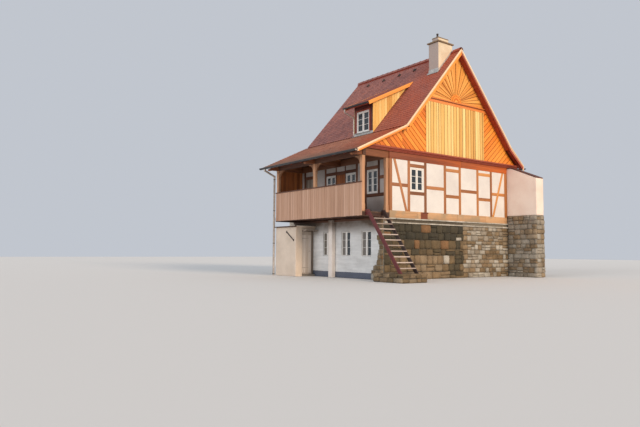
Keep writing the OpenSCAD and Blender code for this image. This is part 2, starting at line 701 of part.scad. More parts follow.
module dormer_front() color("brown") house() difference() {
  along_x(dormer_span) polygon([[kick_y, kick_z + seat], [kick_y, dormer_top(kick_y) - dormer_roof_t - seat],
    [kick_y + dormer_front_t, dormer_top(kick_y + dormer_front_t) - dormer_roof_t - seat],
    [kick_y + dormer_front_t, front_top(kick_y + dormer_front_t) + seat]]);
  span([dormer_win_x - dormer_win_w / 2, dormer_win_x + dormer_win_w / 2],
    [kick_y - 1, kick_y + dormer_front_t + 1], [dormer_win_z, dormer_win_z + dormer_win_h]);
}

module dormer_cheeks() color("orange") house()
  for (x = [dormer_span[0], dormer_span[1] - cheek_t]) along_x([x, x + cheek_t]) polygon([
    [kick_y + dormer_front_t, front_top(kick_y + dormer_front_t) + seat],
    [kick_y + dormer_front_t, dormer_top(kick_y + dormer_front_t) - dormer_roof_t - seat],
    [dormer_low_y - 1, front_top(dormer_low_y - 1) + seat]]);

module dormer_roof() color("indianred") house()
  along_x(dormer_span + [-dormer_side, dormer_side]) polygon([
    [kick_y - dormer_out, dormer_top(kick_y - dormer_out) - dormer_roof_t],
    [kick_y - dormer_out, dormer_top(kick_y - dormer_out)],
    [dormer_top_y, front_top(dormer_top_y) + seat], [dormer_low_y, front_top(dormer_low_y) + seat]]);

// ---- Chimney ----

chimney_top = ridge_z + chimney_up;
module chimney_stack() color("wheat") house()
  span(chimney_span, chimney_y, [plate_z + attic_t, chimney_top]);

module chimney_cap() color("gray") house() {
  span(chimney_span + [-chimney_slab_out, chimney_slab_out], chimney_y + [-chimney_slab_out, chimney_slab_out],
    [chimney_top, chimney_top + chimney_slab_t]);
  span([-chimney_x - chimney_l * 2 / 3, -chimney_x], [chimney_y[0], chimney_y[0] + chimney_d * 3 / 4],
    [chimney_top + chimney_slab_t, chimney_top + chimney_slab_t + chimney_block_h]);
}

module chimney_cowl() color("dimgray") house()
  translate([-chimney_x - chimney_l / 2, chimney_y[0] + chimney_d * 0.29,
    chimney_top + chimney_slab_t + chimney_block_h]) cylinder(r = cowl_r, h = cowl_h, $fn = 48);

// ---- Rainwater goods ----

// Half round trough, its rim level at the origin and its back at Y = 0
module trough(x, r) along_x(x) translate([-r, 0]) intersection() {
  difference() { circle(r = r, $fn = 48); circle(r = r - gutter_wall, $fn = 48); }
  translate([-r - 1, -r - 1]) square([2 * r + 2, r + 1]);
}
front_gutter_z = eave_z - gallery_v / 3;
rear_gutter_z = rear_eave_z - rear_v / 3;
dormer_gutter_y = kick_y - dormer_out;
dormer_gutter_z = dormer_top(dormer_gutter_y) - dormer_roof_t / 3;

module gutters() color("slategray") house() {
  translate([0, -front_out, front_gutter_z]) trough([-house_l, verge_out], gutter_r);
  translate([0, house_w + rear_out, rear_gutter_z]) mirror([0, 1, 0]) trough([-house_l, verge_out], gutter_r);
  translate([0, dormer_gutter_y, dormer_gutter_z]) trough(dormer_span + [-dormer_side, dormer_side], gutter_r - 15);
}

// A straight length of pipe between two points, with a round socket at its far end
socket_r = pipe_r + 6;
module pipe(p, q) {
  d = q - p;
  n = norm(d);
  translate(p) rotate([0, acos(d[2] / n), atan2(d[1], d[0])]) cylinder(r = pipe_r, h = n, $fn = 24);
  translate(q) sphere(r = socket_r, $fn = 24);
}
pipe_x = -room_l - socket_r;
pipe_y = gpost_y - socket_r;
neck_z = tie_z - 250;
outlet = [pipe_x, -front_out - gutter_r, front_gutter_z - gutter_r - 60];
module downpipes() color("lightgray") house() {
  pipe([pipe_x, pipe_y, 0], [pipe_x, pipe_y, neck_z]);
  pipe([pipe_x, pipe_y, neck_z], outlet);
  translate(outlet) cylinder(r = pipe_r, h = 60, $fn = 24);
}

// ---- Gallery ----

module gallery_joists() color("saddlebrown") house() {
  for (i = [0:joists - 1]) translate([-room_l + i * (room_l - joist_w) / (joists - 1), 0, 0])
    span([0, joist_w], [gpost_y + 30, frame_y], [stone_h, stone_h + joist_h]);
  span([-room_l, 0], [gpost_y, gpost_y + 30], [stone_h, stone_h + joist_h]);
}

module gallery_floor() color("burlywood") house()
  span([-room_l, 0], [gpost_y, frame_y], [stone_h + joist_h, floor_z]);

module gallery_posts() color("peru") house() {
  for (x = gpost_x) span([x, x + gpost], [gpost_y, gpost_in], [floor_z, tie_z]);
  span([-near_post_in - gpost, -near_post_in], [frame_y - inner_post_d, frame_y], [floor_z, tie_z]);
}

module gallery_plate() color("saddlebrown") house() along_x([-room_l, 0])
  polygon([[gpost_y, tie_z], [gpost_in, tie_z], [gpost_in, front_under(gpost_in)], [gpost_y, front_under(gpost_y)]]);

// Tie beams over the posts: the part inside the plate, and the rounded head under the eave
head_r = 75;
module gallery_ties() color("saddlebrown") house() for (x = gpost_x) {
  span([x, x + gpost], [gpost_in, frame_y], [tie_z, plate_z]);
  along_x([x, x + gpost]) {
    polygon([[gpost_y, tie_z], [gpost_y, front_under(gpost_y)],
      [-front_out + head_r, front_under(-front_out + head_r)], [-front_out + head_r, tie_z - head_r / 2],
      [-front_out + 3 * head_r, tie_z]]);
    intersection() {
      translate([-front_out + head_r, tie_z + head_r / 2]) circle(r = head_r, $fn = 48);
      polygon([[-front_out - head_r, tie_z - 2 * head_r], [-front_out + head_r, tie_z - 2 * head_r],
        [-front_out + head_r, front_under(-front_out + head_r)], [-front_out - head_r, front_under(-front_out - head_r)]]);
    }
  }
}

// A curved brace in the angle at the origin, reaching to the right and down
module knee_outline(s) difference() {
  translate([0, -s]) square([s, s]);
  translate([s, -s]) circle(r = s - 40, $fn = 64);
}
module gallery_braces() color("peru") house() {
  y = gpost_y + (gpost - knee_t) / 2;
  for (x = [gpost_x[1], gpost_x[2]]) along_y([y, y + knee_t]) translate([x + gpost, tie_z]) knee_outline(knee);
  for (x = [gpost_x[0], gpost_x[1]]) along_y([y, y + knee_t]) translate([x, tie_z]) mirror([1, 0]) knee_outline(knee);
}

parapet_x = [gpost_x[2], -near_post_in];
module gallery_parapet() color("burlywood") house()
  span(parapet_x, [gpost_y - parapet_t, gpost_y], [stone_h, floor_z + rail_up - handrail_t]);

module gallery_rails() color("sienna") house() {
  span(parapet_x, [gpost_y - handrail_w, gpost_y], [floor_z + rail_up - handrail_t, floor_z + rail_up]);
  for (i = [0, 1], z = [floor_z + 120, floor_z + rail_up - 140])
    span([gpost_x[i + 1] + gpost, gpost_x[i]], [gpost_y, gpost_y + 60], [z, z + 80]);
}

module gallery_end_boards() color("chocolate") house()
  span([gpost_x[2] + gpost / 2, gpost_x[2] + gpost / 2 + 30], [gpost_in, frame_y], [floor_z, tie_z]);

// ---- Outside stair ----

stair_top = floor_z - first_drop;
rise = (stair_top - stair_base_h) / treads;
stair_slope = rise / going;
function stair_z(x) = stair_top - (x - first_tread_x) * stair_slope;
function stair_x(z) = first_tread_x + (stair_top - z) / stair_slope;
stringer_up = 90;
stringer_down = 170;
stringer_head = 150;

module stair_stringers() color("firebrick") house()
  for (y = [-stair_y, -stair_y + stair_w - stringer_t]) along_y([y, y + stringer_t])
    polygon([[0, floor_z - stringer_head], [0, floor_z + 60], [stair_x(floor_z + 60 - stringer_up), floor_z + 60],
      [stair_x(stair_base_h - stringer_up), stair_base_h], [stair_x(stair_base_h + stringer_down), stair_base_h],
      [stair_x(floor_z - stringer_head + stringer_down), floor_z - stringer_head]]);

module stair_treads() color("rosybrown") house() for (i = [0:treads - 1])
  translate([first_tread_x + i * going, 0, stair_top - i * rise])
    span([-tread_d / 2, tread_d / 2], [-stair_y + stringer_t, -stair_y + stair_w - stringer_t], [-tread_t, 0]);

module stair_base() color("darkkhaki") house()
  span([stair_base_x, stair_base_x + stair_base_l], [-stair_y - 40, set_back], [0, stair_base_h]);

// ---- Wing wall ----

wing_x = [-400, wing_l];
wing_top = plate_z - coping_t;
wing_base_h = stone_h + wing_base_up;
module wing_outline(d) polygon([[wing_x[0], wing_base_h], [wing_x[1], wing_base_h],
  [wing_x[1], wing_top - wing_drop + d], [ledge_out + 130, wing_top + d], [wing_x[0], wing_top + d]]);
module wing_wall() color("mistyrose") house() along_y([house_w, house_w + wing_t]) wing_outline(0);
module wing_coping() color("sienna") house() along_y([house_w, house_w + wing_t]) difference() {
  wing_outline(coping_t);
  wing_outline(0);
}
module wing_wall_base() color("gray") house() span(wing_x, [house_w, house_w + wing_t], [0, wing_base_h]);

ground_floor();
front_wall_lower();
front_pier();
gable_wall_lower();
rear_wall_lower();
party_wall();
stone_ledges();
porch_walls();
porch_lintel();
porch_cover();
entrance_door_frame();
entrance_door();
wall_anchor();
upper_floor();
gable_frame();
gable_infill();
front_frame();
front_infill();
rear_frame();
rear_infill();
attic_floor();
gable_cornices();
gable_boards();
gable_sunburst();
roof_front();
roof_gallery();
roof_rear();
eave_end_boards();
ridge_cap();
bargeboards();
dormer_front();
dormer_cheeks();
dormer_roof();
chimney_stack();
chimney_cap();
chimney_cowl();
gutters();
downpipes();
gallery_joists();
gallery_floor();
gallery_posts();
gallery_plate();
gallery_ties();
gallery_braces();
gallery_parapet();
gallery_rails();
gallery_end_boards();
gallery_doors();
lower_windows();
upper_windows();
lower_glass();
upper_glass();
stair_stringers();
stair_treads();
stair_base();
wing_wall();
wing_wall_base();
wing_coping();
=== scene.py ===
import json
import math
import random

import bpy
from mathutils import Matrix, Vector
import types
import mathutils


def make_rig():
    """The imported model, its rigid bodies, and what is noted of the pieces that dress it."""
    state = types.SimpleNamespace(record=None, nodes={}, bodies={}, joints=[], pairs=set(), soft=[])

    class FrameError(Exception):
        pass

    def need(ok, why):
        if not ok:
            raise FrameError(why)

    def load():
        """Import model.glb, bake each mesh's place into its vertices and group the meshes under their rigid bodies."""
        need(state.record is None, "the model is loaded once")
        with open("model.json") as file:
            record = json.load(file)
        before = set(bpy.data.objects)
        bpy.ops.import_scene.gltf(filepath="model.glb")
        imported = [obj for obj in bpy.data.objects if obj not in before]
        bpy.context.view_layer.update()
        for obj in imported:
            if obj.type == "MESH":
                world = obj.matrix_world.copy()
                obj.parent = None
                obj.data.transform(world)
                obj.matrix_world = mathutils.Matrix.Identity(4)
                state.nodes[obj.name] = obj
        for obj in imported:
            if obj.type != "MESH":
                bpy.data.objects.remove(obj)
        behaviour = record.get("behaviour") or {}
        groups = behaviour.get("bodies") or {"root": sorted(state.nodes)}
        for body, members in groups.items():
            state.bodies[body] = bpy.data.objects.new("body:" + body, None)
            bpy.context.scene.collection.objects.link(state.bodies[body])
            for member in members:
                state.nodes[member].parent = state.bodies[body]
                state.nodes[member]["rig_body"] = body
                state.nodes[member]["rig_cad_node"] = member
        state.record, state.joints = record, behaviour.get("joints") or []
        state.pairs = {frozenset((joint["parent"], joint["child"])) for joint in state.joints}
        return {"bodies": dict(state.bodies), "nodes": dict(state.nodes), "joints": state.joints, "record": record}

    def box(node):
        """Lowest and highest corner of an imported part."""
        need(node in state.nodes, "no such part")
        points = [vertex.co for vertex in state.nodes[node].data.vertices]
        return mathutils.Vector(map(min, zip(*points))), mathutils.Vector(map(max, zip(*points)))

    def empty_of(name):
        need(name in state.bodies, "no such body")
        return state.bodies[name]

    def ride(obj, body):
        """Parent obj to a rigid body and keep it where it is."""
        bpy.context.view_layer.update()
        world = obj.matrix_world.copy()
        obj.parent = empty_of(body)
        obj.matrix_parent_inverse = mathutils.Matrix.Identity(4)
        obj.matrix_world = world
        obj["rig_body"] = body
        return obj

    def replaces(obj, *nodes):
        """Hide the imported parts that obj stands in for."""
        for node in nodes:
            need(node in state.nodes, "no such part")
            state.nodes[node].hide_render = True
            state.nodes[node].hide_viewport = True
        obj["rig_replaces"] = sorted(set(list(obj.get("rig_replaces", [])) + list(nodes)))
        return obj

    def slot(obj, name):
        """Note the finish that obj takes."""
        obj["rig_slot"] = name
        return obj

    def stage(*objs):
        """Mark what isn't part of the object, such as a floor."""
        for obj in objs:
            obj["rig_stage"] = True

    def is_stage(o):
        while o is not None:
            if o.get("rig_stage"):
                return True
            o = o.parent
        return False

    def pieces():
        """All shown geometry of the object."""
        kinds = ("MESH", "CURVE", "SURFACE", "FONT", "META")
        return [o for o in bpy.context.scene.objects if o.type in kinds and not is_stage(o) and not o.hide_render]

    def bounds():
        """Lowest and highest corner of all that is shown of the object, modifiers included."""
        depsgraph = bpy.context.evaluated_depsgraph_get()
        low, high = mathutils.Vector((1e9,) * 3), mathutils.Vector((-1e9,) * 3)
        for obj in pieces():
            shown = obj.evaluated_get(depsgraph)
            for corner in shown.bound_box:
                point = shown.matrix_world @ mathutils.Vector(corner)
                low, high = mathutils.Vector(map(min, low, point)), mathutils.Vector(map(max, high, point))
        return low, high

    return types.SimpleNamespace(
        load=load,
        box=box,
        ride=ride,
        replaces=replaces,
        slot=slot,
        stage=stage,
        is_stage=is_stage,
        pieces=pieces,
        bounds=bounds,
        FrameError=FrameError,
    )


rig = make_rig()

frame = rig.load()
cad_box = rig.bounds()
nodes = frame["nodes"]
bpy.ops.object.select_all(action="DESELECT")


# Camera: stands low in the garden, a few steps off the gable corner, and looks
# slightly up, so that the gallery side and the gable both show.
def camera_axes(yaw, pitch, roll):
    """The camera's right, up and backward directions."""
    ahead = Vector((math.sin(yaw) * math.cos(pitch), math.cos(yaw) * math.cos(pitch), math.sin(pitch)))
    side = Vector((math.cos(yaw), -math.sin(yaw), 0))
    down = ahead.cross(side)
    right = side * math.cos(roll) + down * math.sin(roll)
    up = side * math.sin(roll) - down * math.cos(roll)
    return right, up, -ahead


camera = bpy.data.objects.new("camera", bpy.data.cameras.new("camera"))
bpy.context.collection.objects.link(camera)
axes = camera_axes(math.radians(-53.32), math.radians(3.72), math.radians(-0.37))
camera.matrix_world = Matrix.Translation((20.0, -19.48, 1.10)) @ Matrix(axes).transposed().to_4x4()
camera.data.sensor_width = 36.0
camera.data.lens = 32.84
camera.data.clip_end = 300.0
bpy.context.scene.camera = camera


# Studio: a pale floor, a warm soft key from the gable side, a weaker cool fill
# from the gallery side and an even pale surround.
def linear(code):
    """An sRGB hex colour as linear numbers."""
    parts = [int(code[i:i + 2], 16) / 255 for i in (1, 3, 5)]
    return [c / 12.92 if c <= 0.04045 else ((c + 0.055) / 1.055) ** 2.4 for c in parts] + [1.0]


def add(tree, kind, inputs=None, out=0, stops=(), **settings):
    """Adds a shader node with its settings, input values, links and colour stops, and gives one output."""
    node = tree.nodes.new("ShaderNode" + kind)
    for key, value in settings.items():
        setattr(node, key, value)
    for i, (place, colour) in enumerate(stops):
        marks = node.color_ramp.elements
        mark = marks[i] if i < 2 else marks.new(place)
        mark.position, mark.color = place, linear(colour)
    for key, value in (inputs or {}).items():
        if isinstance(value, bpy.types.NodeSocket):
            tree.links.new(value, node.inputs[key])
        else:
            node.inputs[key].default_value = value
    return node.outputs[out]


def new_material(name):
    """An empty material and its node tree."""
    material = bpy.data.materials.new(name)
    material.use_nodes = True
    return material, material.node_tree


def surface(tree, colour, settings, height=None, strength=0.0, depth=0.0):
    """Gives the shader its colour and its own settings, and lets a height emboss it."""
    shader = tree.nodes["Principled BSDF"]
    tree.links.new(colour, shader.inputs["Base Color"])
    for key, value in settings.items():
        shader.inputs[key].default_value = value
    if strength:
        bump = add(tree, "Bump", {"Height": height, "Strength": strength, "Distance": depth})
        tree.links.new(bump, shader.inputs["Normal"])


# Matt floor paint: a pale even ground with the faintest clouds.
floor_paint, tree = new_material("matt_floor_paint")
cloud = add(tree, "TexNoise", {"Scale": 0.6, "Detail": 3.0})
surface(tree, add(tree, "ValToRGB", {"Fac": cloud}, stops=((0.3, "#dcdad6"), (0.7, "#e2e0dc"))), {"Roughness": 0.85})
bpy.ops.mesh.primitive_plane_add(size=160, location=(0, 0, -0.003))
floor = bpy.context.object
floor.name = "floor"
floor.data.materials.append(floor_paint)
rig.stage(floor)


def soft_light(name, place, aim, spread, strength, colour):
    """A far studio lamp that shines past a place to a point, its spread in degrees softening the shadows."""
    lamp = bpy.data.objects.new(name, bpy.data.lights.new(name, "SUN"))
    bpy.context.collection.objects.link(lamp)
    lamp.data.angle, lamp.data.energy, lamp.data.color = math.radians(spread), strength, colour
    lamp.location = place
    lamp.rotation_euler = (Vector(aim) - Vector(place)).to_track_quat("-Z", "Y").to_euler()


soft_light("key", (32, 1, 14), (2, 0, 4), 20, 2.38, (1.0, 0.80, 0.60))
soft_light("fill", (2, -36, 14), (0, -3, 3), 32, 0.87, (0.95, 0.96, 1.0))
world = bpy.data.worlds.new("surround")
world.use_nodes = True
world.node_tree.nodes["Background"].inputs["Color"].default_value = (0.86, 0.91, 1.0, 1.0)
world.node_tree.nodes["Background"].inputs["Strength"].default_value = 0.62
bpy.context.scene.world = world
bpy.context.scene.view_settings.view_transform = "Standard"


# Rubble: split sandstone of the gable wall, the rear wall, the stair base and the
# wing wall's foot, bedded in lime mortar in rough courses, each stone hand dressed.
chance = random.Random(7)
GABLE_X, FRONT_Y = 3.30, -3.94
LENGTH, DEPTH, WALL_HEAD, LEDGE_FOOT = 6.15, 7.88, 2.45, 2.23
EAST, NORTH, WEST, SOUTH, UP = (1, 0, 0), (0, 1, 0), (-1, 0, 0), (0, -1, 0), (0, 0, 1)

# Split sandstone: each stone in its own brown, ochre or grey, gritty and stained, in a duller mortar whose dark end is
# partly painted shade in the joints.
sandstone, tree = new_material("split_sandstone")
place = add(tree, "TexCoord", out="Object")
tone = add(tree, "Attribute", out="Fac", attribute_name="tone")
stone = add(tree, "ValToRGB", {"Fac": tone}, stops=(
    (0.0, "#876442"), (0.03, "#3a362a"), (0.14, "#4e4634"), (0.27, "#68573d"), (0.38, "#7d684b"), (0.47, "#8e775a"),
    (0.55, "#958268"), (0.64, "#9d9180"), (0.8, "#b0a899"), (0.97, "#ccc5b8")))
grit = add(tree, "TexNoise", {"Vector": place, "Scale": 26.0, "Detail": 8.0, "Roughness": 0.7})
stain = add(tree, "TexNoise", {"Vector": place, "Scale": 2.4, "Detail": 5.0})
shade = add(tree, "MapRange", {"Value": grit, "From Min": 0.25, "From Max": 0.75, "To Min": 0.62, "To Max": 1.22})
dark = add(tree, "MapRange", {"Value": stain, "From Min": 0.35, "From Max": 0.65, "To Min": 0.72, "To Max": 1.1})
both = add(tree, "Math", {0: shade, 1: dark}, operation="MULTIPLY")
stone = add(tree, "VectorMath", {0: stone, "Scale": both}, operation="SCALE")
# Mortar: its dark end is partly painted shade, standing in for the shadow in the deep joints between the stones.
bed = add(tree, "MapRange", {"Value": tone, "From Min": 2.0, "From Max": 3.0, "To Min": 0.0, "To Max": 0.5})
bed = add(tree, "Math", {0: grit, 1: 0.5, 2: bed}, operation="MULTIPLY_ADD")
mortar = add(tree, "ValToRGB", {"Fac": bed}, stops=((0.2, "#4a4236"), (0.75, "#b0a592")))
is_mortar = add(tree, "Math", {0: tone, 1: 1.5}, operation="GREATER_THAN")
colour = add(tree, "Mix", {"Factor": is_mortar, 6: stone, 7: mortar}, out=2, data_type="RGBA")
surface(tree, colour, {"Roughness": 0.92}, grit, 0.6, 0.012)


def set_tone(mesh, value):
    """Marks a whole piece with the number that picks its own shade."""
    mark = mesh.attributes.get("tone") or mesh.attributes.new("tone", "FLOAT", "POINT")
    mark.data.foreach_set("value", [value] * len(mesh.vertices))


def copy_of(shape, matrix, tone):
    """A copy of a modelled piece with its own mesh, moved to its place."""
    piece = shape.copy()
    piece.data = shape.data.copy()
    piece.data.transform(matrix)
    set_tone(piece.data, tone)
    bpy.context.collection.objects.link(piece)
    return piece


def pick_out(*pieces):
    """Selects pieces alone, the first one active."""
    bpy.ops.object.select_all(action="DESELECT")
    for piece in pieces:
        piece.select_set(True)
    bpy.context.view_layer.objects.active = pieces[0]


def edit_all():
    """Opens the active piece for editing with all of it selected."""
    bpy.ops.object.mode_set(mode="EDIT")
    bpy.ops.mesh.select_all(action="SELECT")


def joined(name, parts):
    """Joins pieces into one object at the origin, with nothing under the ground."""
    pick_out(*parts)
    bpy.ops.object.join()
    whole = bpy.context.object
    bpy.ops.object.transform_apply(location=True, rotation=True, scale=True)
    for vertex in whole.data.vertices:
        vertex.co.z = max(vertex.co.z, 0.0)
    whole.name = name
    return whole


def fitted(piece, material, slot, *stands_for, body="house"):
    """Gives a finished piece its material, its body and the nodes that it stands for."""
    piece.data.materials.clear()
    piece.data.materials.append(material)
    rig.ride(piece, body)
    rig.slot(piece, slot)
    if stands_for:
        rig.replaces(piece, *stands_for)


def at(x, y, z):
    """A point given in metres from the gable face, from the front masonry face and from the ground."""
    return Vector((x + GABLE_X, y + FRONT_Y, z))


stone_shapes = []
for seed in range(7):
    bpy.ops.mesh.primitive_cube_add(size=1)
    edit_all()
    bpy.ops.mesh.subdivide(number_cuts=2)
    bpy.ops.transform.tosphere(value=0.2)
    bpy.ops.transform.vertex_random(offset=0.045, seed=seed + 1)
    bpy.ops.object.mode_set(mode="OBJECT")
    bpy.ops.object.shade_smooth()
    stone_shapes.append(bpy.context.object)


def stone_face(x, y, along, length, height, course, long_side, tones, keep=None):
    """Lays stones in courses on one face of a wall, from its lower left corner, seen from outside.

    tones gives a stone's shade from its place along the wall, its level and a random number."""
    along, up = Vector(along), Vector(UP)
    out = Vector((along.y, -along.x, 0))
    turn = Matrix((along, out, up)).transposed().to_4x4()
    rows = max(1, round(height / course))
    edges = [0.0] + [height * (i + chance.uniform(-0.16, 0.16)) / rows for i in range(1, rows)] + [height]
    stones = []
    for low, high in zip(edges, edges[1:]):
        done = 0.0
        while done < length - 0.02:
            share = (done + 0.1) / length
            step = chance.uniform(0.7, 1.5) * long_side
            if done + step > length - 0.12:
                step = length - done
            whole = step < 0.9 * (high - low) or chance.random() > 0.3 or high - low < 0.2
            between = low + (high - low) * chance.uniform(0.35, 0.65)
            for foot, head in [(low, high)] if whole else [(low, between), (between, high)]:
                wide = step - chance.uniform(0.012, 0.035)
                tall = head - foot - chance.uniform(0.012, 0.04)
                deep = chance.uniform(0.13, 0.2)
                across, level = done + step / 2, (foot + head) / 2 + chance.uniform(-0.008, 0.008)
                if keep is None or keep(across, level):
                    place = at(x, y, 0) + along * across + up * level
                    place += out * (chance.uniform(-0.012, 0.02) + 0.03 - deep / 2)
                    tilt = Matrix.Rotation(chance.uniform(-0.035, 0.035), 4, "Y")
                    matrix = Matrix.Translation(place) @ turn @ tilt @ Matrix.Diagonal((wide, deep, tall, 1))
                    shape = chance.choice(stone_shapes)
                    stones.append(copy_of(shape, matrix, tones(share, level / height, chance.random())))
            done += step
    return stones


def mortar_core(low, high, shade=2.0):
    """The mortar bed behind the stones: 2 is dark, partly painted shade in the deep joints, 3 is pale."""
    low, high = at(*low), at(*high)
    bpy.ops.mesh.primitive_cube_add(size=1)
    core = bpy.context.object
    core.data.transform(Matrix.Translation((low + high) / 2) @ Matrix.Diagonal((*(high - low), 1)))
    set_tone(core.data, shade)
    return core


def old_tones(share, level, pick):
    """Dark stones along the head of the old part, tan ones towards its foot, a few odd ones."""
    if pick > 0.95:
        return 0.0 if pick < 0.98 else 0.85
    if level > 0.68:
        return 0.03 + pick * 0.12
    return 0.36 + pick * 0.2 if level < 0.4 and 0.15 < share < 0.75 else 0.1 + pick * 0.3


def even_tones(start, spread):
    """Shades from a start over a spread, the same all over a wall."""
    return lambda share, level, pick: start + pick * spread


gable_stones = stone_face(0, 0, NORTH, 4.70, LEDGE_FOOT, 0.33, 0.40, old_tones)
gable_stones += stone_face(0, 4.62, NORTH, 3.26, LEDGE_FOOT, 0.20, 0.30, even_tones(0.38, 0.5))
gable_stones += [mortar_core((-0.05, -0.006, 0), (0.008, 0.53, LEDGE_FOOT)),
                 mortar_core((-0.5, 0.02, 0), (-0.016, 4.7, WALL_HEAD)),
                 mortar_core((-0.5, 4.7, 0), (-0.014, 7.86, WALL_HEAD), 2.35)]
fitted(joined("gable_rubble", gable_stones), sandstone, "rubble", "gable_wall_lower")

rear_stones = stone_face(-0.4, DEPTH, WEST, 5.75, WALL_HEAD, 0.25, 0.3, even_tones(0.25, 0.5))
rear_stones.append(mortar_core((-LENGTH, 7.38, 0), (-0.45, 7.868, WALL_HEAD), 2.6))
fitted(joined("rear_rubble", rear_stones), sandstone, "rubble", "rear_wall_lower")

wing_stones = []
for x, y, along, length, course, start, spread in ((0.02, DEPTH, EAST, 1.52, 0.22, 0.46, 0.3),
                                                   (1.54, DEPTH, NORTH, 0.55, 0.22, 0.46, 0.34),
                                                   (1.54, 8.43, WEST, 1.94, 0.25, 0.3, 0.5)):
    wing_stones += stone_face(x, y, along, length, 2.8, course, 0.3, even_tones(start, spread))
wing_stones.append(mortar_core((-0.38, 7.895, 0), (1.525, 8.415, 2.8), 2.5))
fitted(joined("wing_rubble", wing_stones), sandstone, "rubble", "wing_wall_base")

base_stones = []
for x, y, along, length in ((0.48, -0.96, EAST, 1.51), (1.99, -0.96, NORTH, 1.22), (0.48, 0.26, SOUTH, 1.22),
                            (1.99, 0.26, WEST, 1.51)):
    base_stones += stone_face(x, y, along, length, 0.33, 0.17, 0.3, even_tones(0.2, 0.36))
for i in range(4):
    for j in range(3):
        flat = Matrix.Translation(at(0.66 + 0.39 * i, -0.78 + 0.43 * j, 0.29)) @ Matrix.Diagonal((0.38, 0.42, 0.07, 1))
        base_stones.append(copy_of(chance.choice(stone_shapes), flat, chance.uniform(0.25, 0.56)))
base_stones.append(mortar_core((0.48, -0.96, 0), (1.99, 0.26, 0.30)))
fitted(joined("stair_base_rubble", base_stones), sandstone, "rubble", "stair_base")


def worn_edge(z):
    """Where the limewash ends at a height, measured from the left end of the bare patch."""
    return min(0.43, 0.02 + 0.45 * max(z - 0.1, 0.0)) + 0.05 * math.sin(11.0 * z)


def corner_tones(share, level, pick):
    """Brown stones with one in five in the odd reddish shade."""
    return 0.3 + pick * 0.26 if pick > 0.2 else 0.0


PATCH, LAYER = -0.72, 0.118
corner_stones = stone_face(PATCH, 0, EAST, 0.70, 2.36, 0.2, 0.17, corner_tones, lambda x, z: x > worn_edge(z))
for i in range(20):
    z = LAYER * i
    corner_stones.append(mortar_core((PATCH + worn_edge(z + LAYER / 2), -0.014, z), (-0.01, 0.05, z + LAYER), 2.5))
for x, z, wide, tall, tone in ((-0.50, 0.12, 0.26, 0.24, 0.78), (-0.25, 0.10, 0.24, 0.2, 0.5),
                               (-0.06, 0.12, 0.18, 0.24, 0.3)):
    foot = Matrix.Translation(at(x, -0.02, z)) @ Matrix.Diagonal((wide, 0.18, tall, 1))
    corner_stones.append(copy_of(stone_shapes[2], foot, tone))
fitted(joined("corner_rubble", corner_stones), sandstone, "rubble")


# Stone ledges: two thin weathered slabs that run along the gable under the sill
# beam and throw the rain off the wall. Cut in lengths, with open joints.
bpy.ops.mesh.primitive_cube_add(size=1)
block = bpy.context.object
block.data.uv_layers[0].name = "grain"


def board(start, end, width, thickness, facing, shade=None, place=None):
    """One sawn timber from start to end. Its thickness lies along facing, its width across."""
    start, end, facing = Vector(start), Vector(end), Vector(facing).normalized()
    along = (end - start).normalized()
    across = facing.cross(along).normalized()
    facing = along.cross(across)
    piece = block.copy()
    piece.data = block.data.copy()
    mesh = piece.data
    mesh.transform(Matrix.Diagonal(((end - start).length, width, thickness, 1)))
    shift = (chance.uniform(0, 40), chance.uniform(0, 40))
    grain = mesh.uv_layers["grain"].data
    for face, model in zip(mesh.polygons, block.data.polygons):
        n = model.normal
        for loop in face.loop_indices:
            p = mesh.vertices[mesh.loops[loop].vertex_index].co
            u, v = (p.y, p.z) if abs(n.x) > 0.5 else (p.x, p.z if abs(n.y) > 0.5 else p.y)
            grain[loop].uv = (u + shift[0], v + shift[1])
    set_tone(mesh, chance.random() if shade is None else shade)
    mesh.transform(Matrix.Translation((start + end) / 2) @ Matrix((along, across, facing)).transposed().to_4x4())
    if place is not None:
        mesh.transform(place)
    bpy.context.collection.objects.link(piece)
    return piece


def beam(x, y, z, width, thickness, facing, shade=None):
    """A timber in house metres; where a coordinate is a pair, the timber runs from the first to the second."""
    start, end = (at(*(v[i] if isinstance(v, tuple) else v for v in (x, y, z))) for i in (0, 1))
    return board(start, end, width, thickness, facing, shade)


def eased(piece, width, segments=1):
    """Takes the sharp arrises off a piece."""
    pick_out(piece)
    bevel = piece.modifiers.new("arris", "BEVEL")
    bevel.width, bevel.segments, bevel.limit_method, bevel.angle_limit = width, segments, "ANGLE", math.radians(35)
    bpy.ops.object.modifier_apply(modifier="arris")
    bpy.ops.object.shade_smooth_by_angle(angle=math.radians(35))
    return piece


def trimmed(piece, *cuts):
    """Saws a piece off at planes, each given as a point and the side that falls away."""
    pick_out(piece)
    bpy.ops.object.mode_set(mode="EDIT")
    for point, away in cuts:
        bpy.ops.mesh.select_all(action="SELECT")
        bpy.ops.mesh.bisect(plane_co=point, plane_no=away, use_fill=True, clear_outer=True)
    bpy.ops.object.mode_set(mode="OBJECT")
    return piece


def built(name, parts, arris, material, slot, *stands_for, rounds=1, cuts=(), body="house"):
    """Joins parts into one piece, saws it off at the cuts, eases its arrises and fits it."""
    piece = joined(name, parts)
    if cuts:
        trimmed(piece, *cuts)
    if arris:
        eased(piece, arris, rounds)
    fitted(piece, material, slot, *stands_for, body=body)


ledges = []
for z in (2.4225, 2.2575):
    y = 0.0
    while y < DEPTH:
        step = min(chance.uniform(0.55, 1.15), DEPTH - y)
        out = 0.07 - chance.uniform(0.0, 0.02)
        ledges.append(beam(out / 2 - 0.02, (y + 0.004, y + step - 0.004), z, out + 0.04, 0.052, UP,
                           chance.uniform(0.82, 1.0)))
        y += step
built("ledge_slabs", ledges, 0.008, sandstone, "rubble", "stone_ledges", rounds=2)


